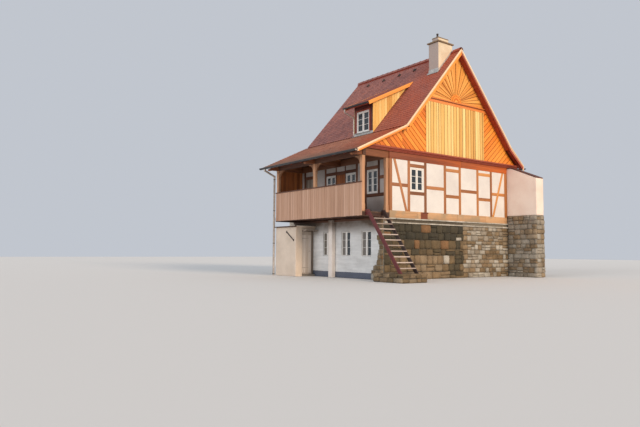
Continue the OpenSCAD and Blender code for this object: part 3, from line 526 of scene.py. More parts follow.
# Limewashed front wall: rubble under many coats of limewash, so its face is soft
# and uneven, with a slate blue band painted on the foot between door and corner.
def lime_coat(name, bright, dull, tooth=0.35, band=None, courses=False, painted_shade_from=None, front=None):
    """Lime on masonry: chalky, stained in large soft patches, with brush marks."""
    material, tree = new_material(name)
    place = add(tree, "TexCoord", out="Object")
    patch = add(tree, "TexNoise", {"Vector": place, "Scale": 1.1, "Detail": 6.0, "Roughness": 0.6})
    fine = add(tree, "TexNoise", {"Vector": place, "Scale": 55.0, "Detail": 5.0, "Roughness": 0.65})
    colour = add(tree, "ValToRGB", {"Fac": patch}, stops=((0.28, dull), (0.62, bright)))
    height = add(tree, "SeparateXYZ", {0: place}, out="Z")
    # Painted shade: in front of a given depth the coat takes a darker colour.
    if front:
        depth = add(tree, "SeparateXYZ", {0: place}, out="Y")
        shaded_front_mask = add(tree, "Math", {0: depth, 1: front[0]}, operation="LESS_THAN")
        colour = add(tree, "Mix", {"Factor": shaded_front_mask, 6: colour, 7: linear(front[1])}, out=2, data_type="RGBA")
    if band:
        drift = add(tree, "MapRange", {"Value": patch, "To Min": -0.03, "To Max": 0.03})
        level = add(tree, "Math", {0: height, 1: drift}, operation="ADD")
        below = add(tree, "Math", {0: level, 1: 0.25}, operation="LESS_THAN")
        paint = add(tree, "ValToRGB", {"Fac": fine}, stops=((0.3, band), (0.75, "#6a6f7c")))
        colour = add(tree, "Mix", {"Factor": below, 6: colour, 7: paint}, out=2, data_type="RGBA")
    if courses:
        wide = add(tree, "Mapping", {"Vector": place, "Scale": (1.3, 1.3, 8.0)})
        beds = add(tree, "TexNoise", {"Vector": wide, "Scale": 1.0, "Detail": 3.0, "Roughness": 0.5})
        fine = add(tree, "Math", {0: beds, 1: 2.6, 2: fine}, operation="MULTIPLY_ADD")
        shade = add(tree, "MapRange", {"Value": beds, "From Min": 0.35, "From Max": 0.65, "To Min": 0.9,
                                       "To Max": 1.05})
    else:
        shade = add(tree, "MapRange", {"Value": fine, "From Min": 0.3, "From Max": 0.7, "To Min": 0.93, "To Max": 1.05})
    colour = add(tree, "VectorMath", {0: colour, "Scale": shade}, operation="SCALE")
    # Painted shade: from a given height upwards the coat darkens to brown, standing in for the shadow under the gallery
    # deck.
    if painted_shade_from:
        painted_shade = add(tree, "MapRange", {"Value": height, "From Min": painted_shade_from, "From Max": 2.3})
        painted_shade = add(tree, "Math", {0: painted_shade, 1: patch, 2: 0.12}, operation="MULTIPLY_ADD", use_clamp=True)
        painted_shade = add(tree, "MapRange", {"Value": painted_shade, "From Min": 0.12, "From Max": 0.6, "To Max": 0.9})
        colour = add(tree, "Mix", {"Factor": painted_shade, 6: colour, 7: linear("#5f4730")}, out=2, data_type="RGBA")
    surface(tree, colour, {"Roughness": 0.95}, fine, tooth, 0.006)
    return material


def solid_copy(name, node):
    """A copy of a CAD solid with its loose triangles joined up."""
    piece = nodes[node].copy()
    piece.data = nodes[node].data.copy()
    for key in [k for k in piece.keys() if k.startswith("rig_")]:
        del piece[key]
    piece.parent = None
    bpy.context.collection.objects.link(piece)
    piece.name = name
    pick_out(piece)
    edit_all()
    bpy.ops.mesh.remove_doubles(threshold=0.0005)
    bpy.ops.mesh.dissolve_limited(angle_limit=math.radians(1))
    bpy.ops.object.mode_set(mode="OBJECT")
    return piece


def lime_skin(name, node, grain, swell, lump, material, slot):
    """A CAD wall's own shape with rounded arrises and an uneven skin, laid just inside its faces."""
    skin = solid_copy(name, node)
    skin.data.remesh_voxel_size = grain
    bpy.ops.object.voxel_remesh()
    clouds = bpy.data.textures.new(name + "_lumps", "CLOUDS")
    clouds.noise_scale, clouds.noise_depth = lump, 2
    uneven = skin.modifiers.new("uneven", "DISPLACE")
    uneven.texture, uneven.texture_coords, uneven.strength, uneven.mid_level = clouds, "LOCAL", swell, 0.85
    bpy.ops.object.modifier_apply(modifier="uneven")
    for vertex in skin.data.vertices:
        vertex.co.z = max(vertex.co.z, 0.0)
    bpy.ops.object.shade_smooth()
    fitted(skin, material, slot, node)


# Limewash on rubble: chalky off-white with the courses showing through, a slate blue foot, and brown painted shade at
# the head under the gallery.
limewash = lime_coat("limewash_on_rubble", "#e0dfdc", "#cccac6", tooth=0.5, band="#50545f", courses=True,
                     painted_shade_from=1.75)
# Limewash on the pier: warmer and brighter, with brown painted shade only under the roof.
plain_limewash = lime_coat("limewash_on_pier", "#eee4da", "#dacdc2", tooth=0.5, painted_shade_from=1.9)
lime_skin("front_wall_limewash", "front_wall_lower", 0.03, 0.022, 0.22, limewash, "whitewash")
lime_skin("pier_limewash", "front_pier", 0.025, 0.018, 0.2, plain_limewash, "whitewash")


# Porch: rendered walls in cream lime, smoother than the house wall, with a dark
# cover board, a tie iron with its bar, and a thin slab over the door.
def dressed(material, *names):
    """Gives CAD pieces that stay as they are their material."""
    for name in names:
        nodes[name].data.materials.clear()
        nodes[name].data.materials.append(material)


def oiled_wood(name, light, mid, dark, rough=0.62, streak=34.0, bump=0.5, axis=None, old=None, sunlit_rear=None):
    """Sawn timber: fibres run along the grain map, or along one axis on a CAD piece, each board with its own tone.

    old is the colour of weathered patches; the three colours after it are painted sunlight that grows towards the rear."""
    material, tree = new_material(name)
    house_place = add(tree, "TexCoord", out="Object")
    if axis is None:
        place = add(tree, "UVMap", uv_map="grain")
        scale = (1.1, streak, 1.0)
    else:
        place = house_place
        scale = [1.1 if i == axis else streak for i in range(3)]
    fibre_place = add(tree, "Mapping", {"Vector": place, "Scale": scale})
    fibre = add(tree, "TexNoise", {"Vector": fibre_place, "Scale": 1.0, "Detail": 7.0, "Roughness": 0.62})
    broad_place = add(tree, "Mapping", {"Vector": place, "Scale": [s * 0.22 for s in scale]})
    broad = add(tree, "TexNoise", {"Vector": broad_place, "Scale": 1.0, "Detail": 3.0})
    tone = add(tree, "Attribute", out="Fac", attribute_name="tone")
    mix = 0.0
    for value, weight in ((fibre, 0.45), (broad, 0.4), (tone, 0.38)):
        mix = add(tree, "Math", {0: value, 1: weight, 2: mix}, operation="MULTIPLY_ADD")
    colour = add(tree, "ValToRGB", {"Fac": mix}, stops=((0.36, dark), (0.58, mid), (0.84, light)))
    # Painted sunlight: from front to rear the colours shift to brighter, more orange ones, where the sun fell on the
    # gable.
    if sunlit_rear:
        sunlit_colours = add(tree, "ValToRGB", {"Fac": mix}, stops=((0.36, sunlit_rear[2]), (0.58, sunlit_rear[1]), (0.84, sunlit_rear[0])))
        depth = add(tree, "SeparateXYZ", {0: house_place}, out="Y")
        share = add(tree, "MapRange", {"Value": depth, "From Min": -1.9, "From Max": 2.9})
        colour = add(tree, "Mix", {"Factor": share, 6: colour, 7: sunlit_colours}, out=2, data_type="RGBA")
    if old:
        weather = add(tree, "TexNoise", {"Vector": house_place, "Scale": 1.7, "Detail": 6.0})
        worn = add(tree, "MapRange", {"Value": weather, "From Min": 0.48, "From Max": 0.62})
        colour = add(tree, "Mix", {"Factor": worn, 6: colour, 7: linear(old)}, out=2, data_type="RGBA")
    surface(tree, colour, {"Roughness": rough}, fibre, bump, 0.004)
    return material


def mottled(name, stops, scale, detail, settings, strength=0.0, depth=0.0):
    """A finish whose colour and surface both follow one soft noise."""
    material, tree = new_material(name)
    cloud = add(tree, "TexNoise", {"Vector": add(tree, "TexCoord", out="Object"), "Scale": scale, "Detail": detail})
    surface(tree, add(tree, "ValToRGB", {"Fac": cloud}, stops=stops), settings, cloud, strength, depth)
    return material


# Cream lime render: warm and smooth, with soft patches and little tooth.
cream_lime = lime_coat("cream_lime_render", "#e3d0bc", "#cfbca8", tooth=0.3)
lime_skin("porch_render", "porch_walls", 0.025, 0.010, 0.4, cream_lime, "cream_render")
dressed(cream_lime, "porch_lintel")
# Dark stained spruce: a deep brown in which the fibres just show.
dark_oak = oiled_wood("dark_stained_spruce", "#6d4733", "#50301f", "#38211a")
cover = [beam((-6.14, -4.45), -1.075 + 0.193 * i, 2.205, 0.188, 0.028, UP) for i in range(6)]
cover.append(beam((-6.14, -4.45), -1.115, 2.200, 0.028, 0.038, UP))
built("porch_cover_boards", cover, 0.003, dark_oak, "dark_wood", "porch_cover")
cove = [beam(-4.478, (-1.048, -0.01), 2.203, 0.084, 0.052, UP)]
built("porch_rendered_cove", cove, 0.008, cream_lime, "cream_render", rounds=2)
# Blackened wrought iron: near black and scaly, with a breath of rust.
blackened_iron = mottled("blackened_wrought_iron", ((0.3, "#232122"), (0.6, "#38312e"), (0.8, "#5a4032")), 60.0, 6.0,
                         {"Metallic": 0.7, "Roughness": 0.6}, 0.4, 0.002)
irons = [beam((-5.26, -4.67), -1.059, (1.98, 1.58), 0.045, 0.018, SOUTH)]
irons += [beam(x, -1.058, (z - 0.045, z + 0.045), 0.05, 0.022, SOUTH) for x, z in ((-5.24, 1.966), (-4.69, 1.594))]
built("tie_iron", irons, 0.004, blackened_iron, "iron", "wall_anchor")
# Weathered oak planks: silver grey-brown and dry, with open grain.
grey_planks = oiled_wood("weathered_oak_planks", "#b8aa9b", "#998a7b", "#6f6254", rough=0.8)
hood = [beam((-4.51, -4.24), -0.365, 2.045, 0.68, 0.024, UP)]
hood += [beam((-4.515, -4.28), y, (1.99, 2.032), 0.03, 0.03, SOUTH) for y in (-0.66, -0.07)]
built("door_hood", hood, 0.003, grey_planks, "door_wood")


# Entrance door: a ledged leaf of upright oak planks in a plain frame, hung on two
# wrought strap hinges, with a lock plate and a lever. The leaf swings inwards.

# Oak of the frame: grey-brown, a shade deeper than the leaf, so that the opening is outlined.
dressed(oiled_wood("shaded_oak_door_frame", "#a89888", "#8c7d6f", "#6a5d51", rough=0.8, axis=2), "entrance_door_frame")
# Oak of the leaf's core: sun bleached and dry, upright grain.
dressed(oiled_wood("sawn_oak_door_leaf", "#f0e4d8", "#e0d2c4", "#bfae9e", rough=0.8, axis=2), "entrance_door")
# Oak of the planks: the same bleached tone, each plank its own shade.
bleached_planks = oiled_wood("bleached_oak_planks", "#f0e4d8", "#e0d2c4", "#bfae9e", rough=0.8)
planks = [beam(-4.717, -0.579 + 0.0765 * i, (0.15, 1.83), 0.071, 0.008, EAST) for i in range(7)]
built("door_planks", planks, 0.002, bleached_planks, "door_wood", body="entrance_door_leaf")
STRAP_LEVELS = (0.38, 1.68)
straps = [beam(-4.711, (-0.60, -0.22), z, 0.035, 0.005, EAST) for z in STRAP_LEVELS]
straps += [beam(-4.709, y, (z - 0.007, z + 0.007), 0.014, 0.008, EAST)
           for z in STRAP_LEVELS for y in (-0.56, -0.45, -0.34, -0.25)]
# Painted wrought iron: a taupe coat that sinks into the planks, with brush marks.
painted_iron = mottled("taupe_painted_wrought_iron", ((0.35, "#b8a898"), (0.7, "#d2c4b5")), 45.0, 5.0,
                       {"Roughness": 0.5}, 0.2, 0.002)
built("door_straps", straps, 0.0015, painted_iron, "iron", body="entrance_door_leaf")


# Timber frame of the gable: squared spruce, oiled brown, tenoned and pegged, its
# sill beam older and weathered to grey and ochre along the wall's foot.
FLOOR, POST_FOOT, PLATE_FOOT = 2.65, 2.74, 4.80
GABLE_POSTS = [1.38 + 0.965 * ((i + 1) // 2) + 1.205 * (i // 2) for i in range(6)]
# Oiled spruce: mid brown with dark fibres, turned more orange towards the rear by painted sunlight.
oiled_spruce = oiled_wood("oiled_spruce_frame", "#b87a4c", "#945c36", "#683e24",
                          sunlit_rear=("#d89450", "#b67238", "#844c26"))
# Oiled spruce of the plate: rust brown, turned to a bright orange towards the rear by painted sunlight.
rust_spruce = oiled_wood("rust_oiled_spruce_plate", "#ac5c34", "#8e4624", "#602c16",
                         sunlit_rear=("#f08a3a", "#da6e20", "#aa4e14"))
# Weathered spruce of the sill: pale ochre with grey patches and deep, washed out grain.
old_spruce = oiled_wood("weathered_spruce_sill", "#dcae80", "#c0946a", "#8c6846", rough=0.75, bump=0.8, old="#a88c6c")


def gable_beam(y, z, width, out=0.0):
    """A timber in the gable wall, along the middle line that y and z give."""
    return beam(-0.08 + out / 2, y, z, width, 0.16 + out, EAST)


timbers = [gable_beam(y, (POST_FOOT, PLATE_FOOT), 0.14) for y in GABLE_POSTS]
timbers += [gable_beam(0.375, (POST_FOOT, PLATE_FOOT), 0.15), gable_beam(7.78, (POST_FOOT, PLATE_FOOT), 0.20)]
timbers += [gable_beam((1.25, 0.57), (2.72, 4.83), 0.12), gable_beam((6.815, 7.56), (2.72, 4.83), 0.12)]
bays = [0.30] + GABLE_POSTS + [DEPTH]
for i, (low, high) in enumerate(zip(bays, bays[1:])):
    for z in ((3.49, 4.62) if i % 2 else (3.78,)):
        timbers.append(gable_beam((low + 0.06, high - 0.06), z, 0.14, out=-0.006))
for y in GABLE_POSTS:
    timbers += [beam((-0.02, 0.006), y + dy, z, 0.022, 0.022, UP, 0.1) for dy in (-0.035, 0.035) for z in (2.80, 4.74)]
built("gable_timbers", timbers, 0.007, oiled_spruce, "frame_timber", "gable_frame", rounds=2)
plates = [gable_beam((0.30, 4.62), 4.94, 0.28), gable_beam((4.626, DEPTH), 4.94, 0.28)]
built("gable_plate_timber", plates, 0.007, rust_spruce, "frame_timber", rounds=2)
sill, y = [], 0.30
for step in (1.55, 0.32, 2.15, 1.96, 1.60):
    sill.append(beam(-0.078, (y + 0.003, y + step - 0.003), 2.595, 0.288, 0.16, EAST))
    y += step
built("gable_sill_beam", sill, 0.012, old_spruce, "frame_timber", rounds=2)
scarf = [beam(0.0, (2.05, 2.46), 2.592, 0.27, 0.012, EAST, 0.1),
         beam(0.004, (2.16, 2.50), (2.700, 2.706), 0.062, 0.012, EAST, -1.0)]
built("sill_beam_scarf", scarf, 0.005, rust_spruce, "frame_timber")
# Limewash on the infill: a broken white with brush marks, lighter than the stone wall below.
dressed(lime_coat("limewashed_infill", "#e3ddd6", "#d3cbc5", tooth=0.4), "gable_infill", "rear_infill")
# The same limewash darkened as painted shade for the gallery's shadow: greyer and duller.
dressed(lime_coat("shaded_limewashed_infill", "#cdc4bd", "#a89b92", tooth=0.4), "front_infill")


# Frames of the gallery side and of the rear: the same joinery in a brown darkened as painted shade, for their place
# under the roofs and out of the sun.

# Spruce of the side frames: oiled, darkened to a brown as painted shade, framing the pale infill.
shaded_spruce = oiled_wood("shade_darkened_spruce", "#8a5a3e", "#6b4029", "#472a1d")


def side_frame(name, y, spans, node):
    """Joins the timbers of a side wall, given as (x0, x1, z0, z1), with their middle at y."""
    parts = []
    for x0, x1, z0, z1 in spans:
        if x1 - x0 > z1 - z0:
            parts.append(beam((x0, x1), y, (z0 + z1) / 2, z1 - z0, 0.16, SOUTH))
        else:
            parts.append(beam((x0 + x1) / 2, y, (z0, z1), x1 - x0, 0.16, SOUTH))
    built(name, parts, 0.006, shaded_spruce, "frame_timber", node, rounds=2)


SIDE_WINDOWS = [-1.03 - 1.37 * i for i in range(4)]
HALF, JAMB, CORNER = 0.34, 0.12, -0.16
SILL, HEAD = (3.33, 3.47), (4.46, 4.60)
front = [(-LENGTH, CORNER, WALL_HEAD, FLOOR), (-LENGTH, CORNER, PLATE_FOOT, 5.08), (-0.57, CORNER, 4.03, 4.17),
         (-0.69, CORNER, *SILL)]
for i, x in enumerate(SIDE_WINDOWS[:3]):
    left = 0.055 if i == 1 else JAMB
    right = 0.055 if i == 2 else JAMB
    front += [(x - HALF - left, x - HALF, FLOOR, PLATE_FOOT),
              (x + HALF, x + HALF + right, FLOOR if i else 3.47, PLATE_FOOT),
              (x - HALF, x + HALF, *SILL), (x - HALF, x + HALF, *HEAD)]
front += [(-3.375, -2.795, 4.45, 4.59), (-5.83, -5.70, FLOOR, PLATE_FOOT), (-5.12, -4.99, FLOOR, PLATE_FOOT),
          (-5.70, -5.12, 4.45, 4.59)]
side_frame("front_timbers", 0.38, front, "front_frame")
rear = [(-LENGTH, CORNER, WALL_HEAD, POST_FOOT), (-LENGTH, CORNER, PLATE_FOOT, 5.08)]
reached = -LENGTH
for x in reversed(SIDE_WINDOWS):
    rear += [(x - HALF - JAMB, x - HALF, POST_FOOT, PLATE_FOOT), (x + HALF, x + HALF + JAMB, POST_FOOT, PLATE_FOOT),
             (x - HALF, x + HALF, *HEAD), (reached, x - HALF - JAMB, *SILL), (x - HALF, x + HALF, *SILL)]
    reached = x + HALF + JAMB
rear.append((reached, CORNER, *SILL))
side_frame("rear_timbers", 7.80, rear, "rear_frame")


# Windows: white painted casements in plain frames, two leaves each, with thin
# glazing bars. The panes are single sheets, nearly black from outside by day.
def casement_window(width, height, rows, place, frame=0.05, stile=0.034, post=0.046, bar=0.02, rail=0.04):
    """The timbers of a window whose lower left corner is the origin and that looks along -Y."""
    def stick(x0, z0, x1, z1, wide, y0, y1):
        return board((x0, (y0 + y1) / 2, z0), (x1, (y0 + y1) / 2, z1), wide, y1 - y0, SOUTH, place=place)
    half, mid, top = frame / 2, width / 2, height - frame
    sticks = [stick(x, 0, x, height, frame, 0, 0.06) for x in (half, width - half)]
    sticks += [stick(frame, z, width - frame, z, frame, 0, 0.06) for z in (half, height - half)]
    sticks.append(stick(mid, frame, mid, top, post, -0.004, 0.05))
    for x0, x1 in ((frame, mid - post / 2), (mid + post / 2, width - frame)):
        sticks += [stick(x, frame, x, top, stile, 0.01, 0.046) for x in (x0 + stile / 2, x1 - stile / 2)]
        x0, x1 = x0 + stile, x1 - stile
        sticks += [stick(x0, z, x1, z, rail, 0.01, 0.046) for z in (frame + rail / 2, top - rail / 2)]
        for i in range(1, rows):
            z = frame + rail + (height - 2 * frame - 2 * rail) * i / rows
            sticks.append(stick(x0, z, x1, z, bar, 0.014, 0.042))
    return sticks


def turned(x, y, z, angle):
    """The place of a window: its corner in house metres and its turn about the upright."""
    return Matrix.Translation(at(x, y, z)) @ Matrix.Rotation(math.radians(angle), 4, "Z")


# White linseed paint: a clean warm white with a soft gloss, slightly worn.
white_paint = mottled("white_linseed_paint", ((0.3, "#d9d4cb"), (0.6, "#efebe4")), 30.0, 5.0, {"Roughness": 0.45},
                      0.15, 0.002)
LOWER_WINDOWS = (-1.05, -2.35, -3.65)
low = []
for x in LOWER_WINDOWS:
    low += casement_window(0.56, 1.0, 3, turned(x - 0.28, 0.04, 0.93, 0), frame=0.014, stile=0.010, post=0.085,
                           bar=0.012, rail=0.014)
built("ground_storey_casements", low, 0.003, white_paint, "window_white", "lower_windows")
high = []
for width, height, place in ([(0.68, 0.99, turned(x - HALF, 0.32, 3.47, 0)) for x in SIDE_WINDOWS[:3]]
                             + [(0.68, 0.99, turned(x + HALF, 7.86, 3.47, 180)) for x in SIDE_WINDOWS]
                             + [(0.76, 0.99, turned(-0.02, 1.4825, 3.56, 90)),
                                (0.84, 0.95, turned(-2.815, 1.0, 6.291, 0))]):
    high += casement_window(width, height, 3, place)
built("upper_casements", high, 0.003, white_paint, "window_white", "upper_windows")
# Float glass: dark and glossy, with a slight ripple in what it mirrors.
GLASS_IOR = 1.52
pane = mottled("float_glass_pane", ((0.3, "#1c2226"), (0.7, "#2b3338")), 5.0, 2.0,
               {"Roughness": 0.06, "IOR": GLASS_IOR, "Coat Weight": 0.4}, 0.08, 0.01)
dressed(pane, "lower_glass", "upper_glass")
# Net curtain behind a pane: grey-brown folds that lighten one half of each ground storey window.
curtained, tree = new_material("pane_with_net_curtain")
folds = add(tree, "TexWave", {"Vector": add(tree, "TexCoord", out="Object"), "Scale": 5.5, "Distortion": 2.0,
                              "Detail": 2.0}, out="Fac", bands_direction="X")
surface(tree, add(tree, "ValToRGB", {"Fac": folds}, stops=((0.2, "#5d564f"), (0.8, "#817a71"))),
        {"Roughness": 0.12, "IOR": GLASS_IOR})
curtain_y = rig.box("lower_glass")[0].y - FRONT_Y - 0.001
curtains = [beam(x - 0.154, curtain_y, (0.945, 1.915), 0.21, 0.002, SOUTH) for x in LOWER_WINDOWS]
built("curtained_panes", curtains, 0, curtained, "window_glass")


# Gable boarding: upright golden boards in the middle field, boards laid square to
# the verge in the two side fields, nailed on a boarded backing.

# Golden glazed spruce: straw yellow boards with a soft gloss, the lightest field of the gable.
golden_boards = oiled_wood("golden_glazed_spruce", "#f8da92", "#ebbb68", "#cf9444", rough=0.5)
# Amber glazed spruce: a strong orange on the slanted boards, each in its own depth.
amber_boards = oiled_wood("amber_glazed_spruce", "#f8a03a", "#ec821e", "#c86410", rough=0.5)
# Honey glazed spruce: between the two, so that the sunburst stands off the field under it.
honey_boards = oiled_wood("honey_glazed_spruce", "#f8b860", "#ea9c42", "#c27628", rough=0.5)
# Backing boards: a dark amber that reads as shadow in the joints.
backing = oiled_wood("amber_backing_boards", "#ae5e1c", "#8c4812", "#623008", axis=2)
dressed(backing, "gable_boards", "gable_sunburst")

ROOF_TAN, GALLERY_TAN, REAR_TAN = (math.tan(math.radians(pitch)) for pitch in (48.6, 25.4, 39.5))
DOWN = Vector((0, 0, -1))
KICK_Y, RIDGE_Y = 0.99, 4.36
CORNICE_TOP = 5.235


def underside(y, z, lean):
    """The plane under a roof slope: a point in it and the side that falls away."""
    return at(0, y, z), Vector((0, lean, 1)).normalized()


main_slope = underside(KICK_Y, 5.917, -ROOF_TAN)
gallery_slope = underside(KICK_Y, 6.052, -GALLERY_TAN)
rear_slope = underside(RIDGE_Y, 9.739, ROOF_TAN)
rear_eave = underside(DEPTH, 5.747, REAR_TAN)


def random_widths(start, end, low, high):
    """Middles and widths of boards that stand side by side from start to end, with no sliver at the end."""
    while start < end - 0.01:
        step = min(chance.uniform(low, high), end - start)
        if end - start - step < 0.08:
            step = end - start
        yield start + step / 2, step
        start += step


uprights = []
for y, step in random_widths(2.36, 6.18, 0.12, 0.22):
    thick = chance.uniform(0.024, 0.034)
    uprights.append(beam(thick / 2, y, (CORNICE_TOP, 7.46), step - 0.026, thick, EAST))
built("gable_upright_boards", uprights, 0.003, golden_boards, "gable_wood", cuts=(main_slope, rear_slope))


def slanted_field(name, y0, y1, lean, slope):
    """Boards at a slant across a field between two uprights of the gable, trimmed to its edges."""
    fall = Vector((0, math.cos(lean), math.sin(lean)))
    across = Vector((0, -math.sin(lean), math.cos(lean)))
    parts = []
    for i in range(-16, 17):
        centre = at(0.010, (y0 + y1) / 2, 6.2) + across * (0.185 * i)
        parts.append(board(centre - fall * 2.6, centre + fall * 2.6, 0.160, chance.uniform(0.016, 0.024), EAST))
    return trimmed(joined(name, parts), (at(0, y0, 0), Vector(SOUTH)), (at(0, y1, 0), Vector(NORTH)),
                   (at(0, 0, CORNICE_TOP), DOWN), slope)


lean = math.radians(48.6 - 90)
near_slants = [slanted_field("eave_slants", -0.93, KICK_Y, lean, gallery_slope),
               slanted_field("near_slants", KICK_Y, 2.355, lean, main_slope)]
built("gable_near_boards", near_slants, 0.0025, amber_boards, "gable_wood")
far_slants = [slanted_field("far_slants", 6.185, DEPTH, -lean, rear_slope),
              slanted_field("rear_eave_slants", DEPTH, 8.52, -lean, rear_eave)]
built("gable_far_boards", far_slants, 0.0025, amber_boards, "gable_wood")


# Sunburst in the top of the gable: tapered boards that fan out from a turned half
# rosette on the upper moulding, every second one standing proud.
RAYS, PETALS, SUN_Y = 28, 7, 4.27


def ray(angle, spread, near, far, thick):
    """One tapered board of the fan."""
    piece = board((near, 0, 0), (far, 0, 0), 1.0, thick, UP)
    for vertex in piece.data.vertices:
        vertex.co.y *= 2 * vertex.co.x * math.tan(spread / 2) - (0.012 if vertex.co.x < 1 else 0.035)
    turn = Matrix(((0, 0, 1), (math.cos(angle), -math.sin(angle), 0), (math.sin(angle), math.cos(angle), 0)))
    piece.data.transform(Matrix.Translation(at(thick / 2, SUN_Y, 7.655)) @ turn.to_4x4())
    return piece


spread = math.pi / RAYS
fan = [ray(spread * (i + 0.5), spread, 0.30, 2.6, 0.036 if i % 2 else 0.018) for i in range(RAYS)]
built("sunburst_fan", fan, 0.0025, honey_boards, "gable_wood", cuts=(main_slope, rear_slope, (at(0, 0, 7.648), DOWN)))


def carved(matrix, tone):
    """Places the turned shape just made on the gable and gives it its shade."""
    shape = bpy.context.object
    shape.data.uv_layers[0].name = "grain"
    shape.data.transform(matrix)
    set_tone(shape.data, tone)
    return shape


face_out = Matrix.Rotation(math.pi / 2, 4, "Y")
petals = []
for i in range(PETALS):
    angle = math.pi * (i + 0.5) / PETALS
    bpy.ops.mesh.primitive_torus_add(major_segments=20, minor_segments=8, major_radius=0.042, minor_radius=0.015)
    bpy.ops.object.shade_smooth()
    place = Matrix.Translation(at(0.034, SUN_Y + 0.25 * math.cos(angle), 7.665 + 0.25 * math.sin(angle)))
    petals.append(carved(place @ Matrix.Rotation(angle, 4, "X") @ face_out @ Matrix.Diagonal((1, 1.75, 1.3, 1)), 1.1))
bpy.ops.mesh.primitive_cylinder_add(vertices=48, radius=0.355, depth=0.036)
disc = carved(Matrix.Translation(at(0.016, SUN_Y, 7.65)) @ face_out, -0.3)
bpy.ops.mesh.primitive_uv_sphere_add(segments=24, ring_count=12, radius=0.5)
bpy.ops.object.shade_smooth()
boss = carved(Matrix.Translation(at(0.034, SUN_Y, 7.655)) @ Matrix.Diagonal((0.08, 0.22, 0.22, 1)), 1.0)
built("sunburst_rosette", [disc, boss] + petals, 0.002, amber_boards, "gable_wood", cuts=((at(0, 0, 7.651), DOWN),))


# Cornices: run mouldings in red-brown paint, the lower one along the whole gable
# over the plate, the upper one between the verges under the sunburst.
def moulding(y, foot, steps):
    """Stacks moulded strips along a stretch y, each given as (height, reach, shade), from the foot up."""
    strips, z = [], foot
    for tall, reach, shade in steps:
        strips.append(beam(reach / 2 - 0.005, y, z + tall / 2, tall - 0.002, reach + 0.01, EAST, shade))
        z += tall
    return strips


# Red-brown linseed paint: faded in streaks on planed boards.
red_brown_paint = oiled_wood("red_brown_linseed_paint", "#b05a3c", "#923e28", "#923e28", rough=0.5, streak=18.0,
                             bump=0.2)
lower = moulding((-1.02, 8.56), 5.082, ((0.035, 0.045, 0.2), (0.04, 0.075, 0.4), (0.022, 0.105, 0.3),
                                        (0.06, 0.138, 0.6)))
# The third strip's dark tone is painted shade under the projecting top strip.
upper = moulding((2.36, 6.33), 7.452, ((0.05, 0.04, 0.9), (0.065, 0.03, 0.8), (0.045, 0.048, -0.3),
                                       (0.036, 0.06, 0.9)))
built("gable_cornice_strips", lower, 0.006, red_brown_paint, "cornice_paint", "gable_cornices", rounds=2,
      cuts=(gallery_slope, rear_eave))
# Orange-brown linseed paint: the upper moulding's brighter coat; its one dark strip is painted shade under the top
# strip.
orange_paint = oiled_wood("orange_brown_linseed_paint", "#f09448", "#dc7030", "#84400f", rough=0.5, streak=18.0,
                          bump=0.2)
built("gable_upper_moulding", upper, 0.006, orange_paint, "cornice_paint", "gable_cornices", rounds=2,
      cuts=(main_slope, rear_slope))
# Soffit boards of the attic floor: a near black brown in the shadow of the eaves.
dressed(oiled_wood("dark_soffit_boards", "#6a3a28", "#4e281c", "#371a12", axis=0), "attic_floor")
# End boards: a mid brown that closes the eaves.
dressed(oiled_wood("brown_end_boards", "#8a5a3c", "#6c4229", "#4b2c1c", axis=1), "eave_end_boards")


# Roof: plain clay tiles with rounded tails, double lapped on battens, on a boarded
# deck whose painted underside shows along the verge and the eaves.
def burnt_clay(name, *stops, mossy=False):
    """Plain clay tiles, each fired to its own shade, turned redder towards the gable by painted warm light, mossy over
    the eave.
    """
    material, tree = new_material(name)
    place = add(tree, "TexCoord", out="Object")
    tone = add(tree, "Attribute", out="Fac", attribute_name="tone")
    cloud = add(tree, "TexNoise", {"Vector": place, "Scale": 0.7, "Detail": 6.0, "Roughness": 0.6})
    grit = add(tree, "TexNoise", {"Vector": place, "Scale": 70.0, "Detail": 4.0})
    mix = 0.0
    for value, weight in ((tone, 0.42), (cloud, 0.6), (grit, 0.12)):
        mix = add(tree, "Math", {0: value, 1: weight, 2: mix}, operation="MULTIPLY_ADD")
    colour = add(tree, "ValToRGB", {"Fac": mix}, stops=stops)
    # Painted warm light: towards the gable the tiles shift to an orange-red, where the sun lit the roof.
    along = add(tree, "SeparateXYZ", {0: place}, out="X")
    painted_warm_light = add(tree, "MapRange", {"Value": along, "From Min": 1.0, "From Max": 2.8, "To Max": 1.2})
    painted_warm_light = add(tree, "Math", {0: painted_warm_light, 1: cloud}, operation="MULTIPLY")
    colour = add(tree, "Mix", {"Factor": painted_warm_light, 6: colour, 7: linear("#b4502a")}, out=2, data_type="RGBA")
    if mossy:
        height = add(tree, "SeparateXYZ", {0: place}, out="Z")
        moss = add(tree, "MapRange", {"Value": height, "From Min": 5.5, "From Max": 4.95})
        moss = add(tree, "Math", {0: moss, 1: cloud}, operation="MULTIPLY")
        colour = add(tree, "Mix", {"Factor": moss, 6: colour, 7: linear("#5d5a4c")}, out=2, data_type="RGBA")
    surface(tree, colour, {"Roughness": 0.72}, grit, 0.25, 0.003)
    return material


# Plain clay tile: dusky red-browns, turned orange-red towards the gable by painted warm light.
clay = burnt_clay("plain_clay_tile", (0.3, "#8a5850"), (0.6, "#9e665c"), (0.85, "#ac6c5c"), (1.0, "#b87860"))
# Bleached clay tile over the gallery: paler and browner, with moss towards the eave.
pale_clay = burnt_clay("bleached_clay_tile", (0.3, "#94604c"), (0.6, "#a87058"), (0.85, "#b47c62"), (1.0, "#bd8a6e"),
                       mossy=True)

